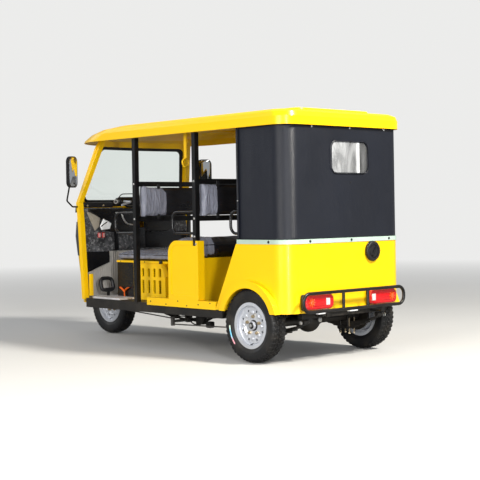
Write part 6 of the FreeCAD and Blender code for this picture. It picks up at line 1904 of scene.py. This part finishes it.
def photo_camera(scene):
    """Camera where the photographer stood, as fitted to the photograph."""
    yaw = math.radians(-42.03)
    pitch = math.radians(-0.09)
    roll = math.radians(-0.958)
    forward = Vector((math.cos(yaw) * math.cos(pitch), math.sin(yaw) * math.cos(pitch), math.sin(pitch)))
    right = forward.cross(UP).normalized()
    up = right.cross(forward)
    right_rolled = right * math.cos(roll) + up * math.sin(roll)
    up_rolled = up * math.cos(roll) - right * math.sin(roll)
    lens = bpy.data.cameras.new("camera")
    lens.lens = 86.945
    lens.shift_y = -0.0552
    lens.clip_end = 200.0
    camera = link(bpy.data.objects.new("camera", lens))
    axes = Matrix((right_rolled, up_rolled, -forward)).transposed()
    camera.matrix_world = Matrix.Translation(at(-6.275, 6.383, 1.113)) @ axes.to_4x4()
    scene.camera = camera


class TRICYCLE_OT_stage(bpy.types.Operator):
    """Floor, soft lamps and the camera at the photograph's angle"""

    bl_idname = "tricycle.stage"
    bl_label = "Stage"

    def execute(self, context):
        scene = context.scene
        stage_floor()
        area_lamps()
        sky(scene)
        photo_camera(scene)
        scene.view_settings.view_transform = "Standard"
        return {"FINISHED"}


OPERATORS = [
    TRICYCLE_OT_finishes, TRICYCLE_OT_tyres, TRICYCLE_OT_wheel_fittings, TRICYCLE_OT_seats,
    TRICYCLE_OT_backrests, TRICYCLE_OT_wraps, TRICYCLE_OT_curtain, TRICYCLE_OT_tail_lamps,
    TRICYCLE_OT_fuel_cap, TRICYCLE_OT_head_lamps, TRICYCLE_OT_mirror_glass, TRICYCLE_OT_controls,
    TRICYCLE_OT_dashboard, TRICYCLE_OT_floor_fittings, TRICYCLE_OT_fixings, TRICYCLE_OT_stage,
]


class TRICYCLE_PT_panel(bpy.types.Panel):
    """Buttons for each group of pieces, with their sizes and colours"""

    bl_label = "Tricycle"
    bl_idname = "TRICYCLE_PT_panel"
    bl_space_type = "VIEW_3D"
    bl_region_type = "UI"
    bl_category = "Tricycle"

    def draw(self, context):
        for operator in OPERATORS:
            self.layout.operator(operator.bl_idname)
        for group in (context.scene.tricycle_sizes, context.scene.tricycle_colours):
            for name in group.bl_rna.properties.keys():
                if name not in ("rna_type", "name"):
                    self.layout.prop(group, name)


CLASSES = [TricycleColours, TricycleSizes, *OPERATORS, TRICYCLE_PT_panel]


def register():
    """Add the classes and their settings."""
    for kind in CLASSES:
        bpy.utils.register_class(kind)
    bpy.types.Scene.tricycle_colours = PointerProperty(type=TricycleColours)
    bpy.types.Scene.tricycle_sizes = PointerProperty(type=TricycleSizes)


def unregister():
    """Take the settings and classes away."""
    del bpy.types.Scene.tricycle_colours
    del bpy.types.Scene.tricycle_sizes
    for kind in reversed(CLASSES):
        bpy.utils.unregister_class(kind)


def main():
    """Dress the frame."""
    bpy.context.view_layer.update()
    register()
    for operator in OPERATORS:
        group, name = operator.bl_idname.split(".")
        getattr(getattr(bpy.ops, group), name)()


if __name__ == "__main__":
    main()
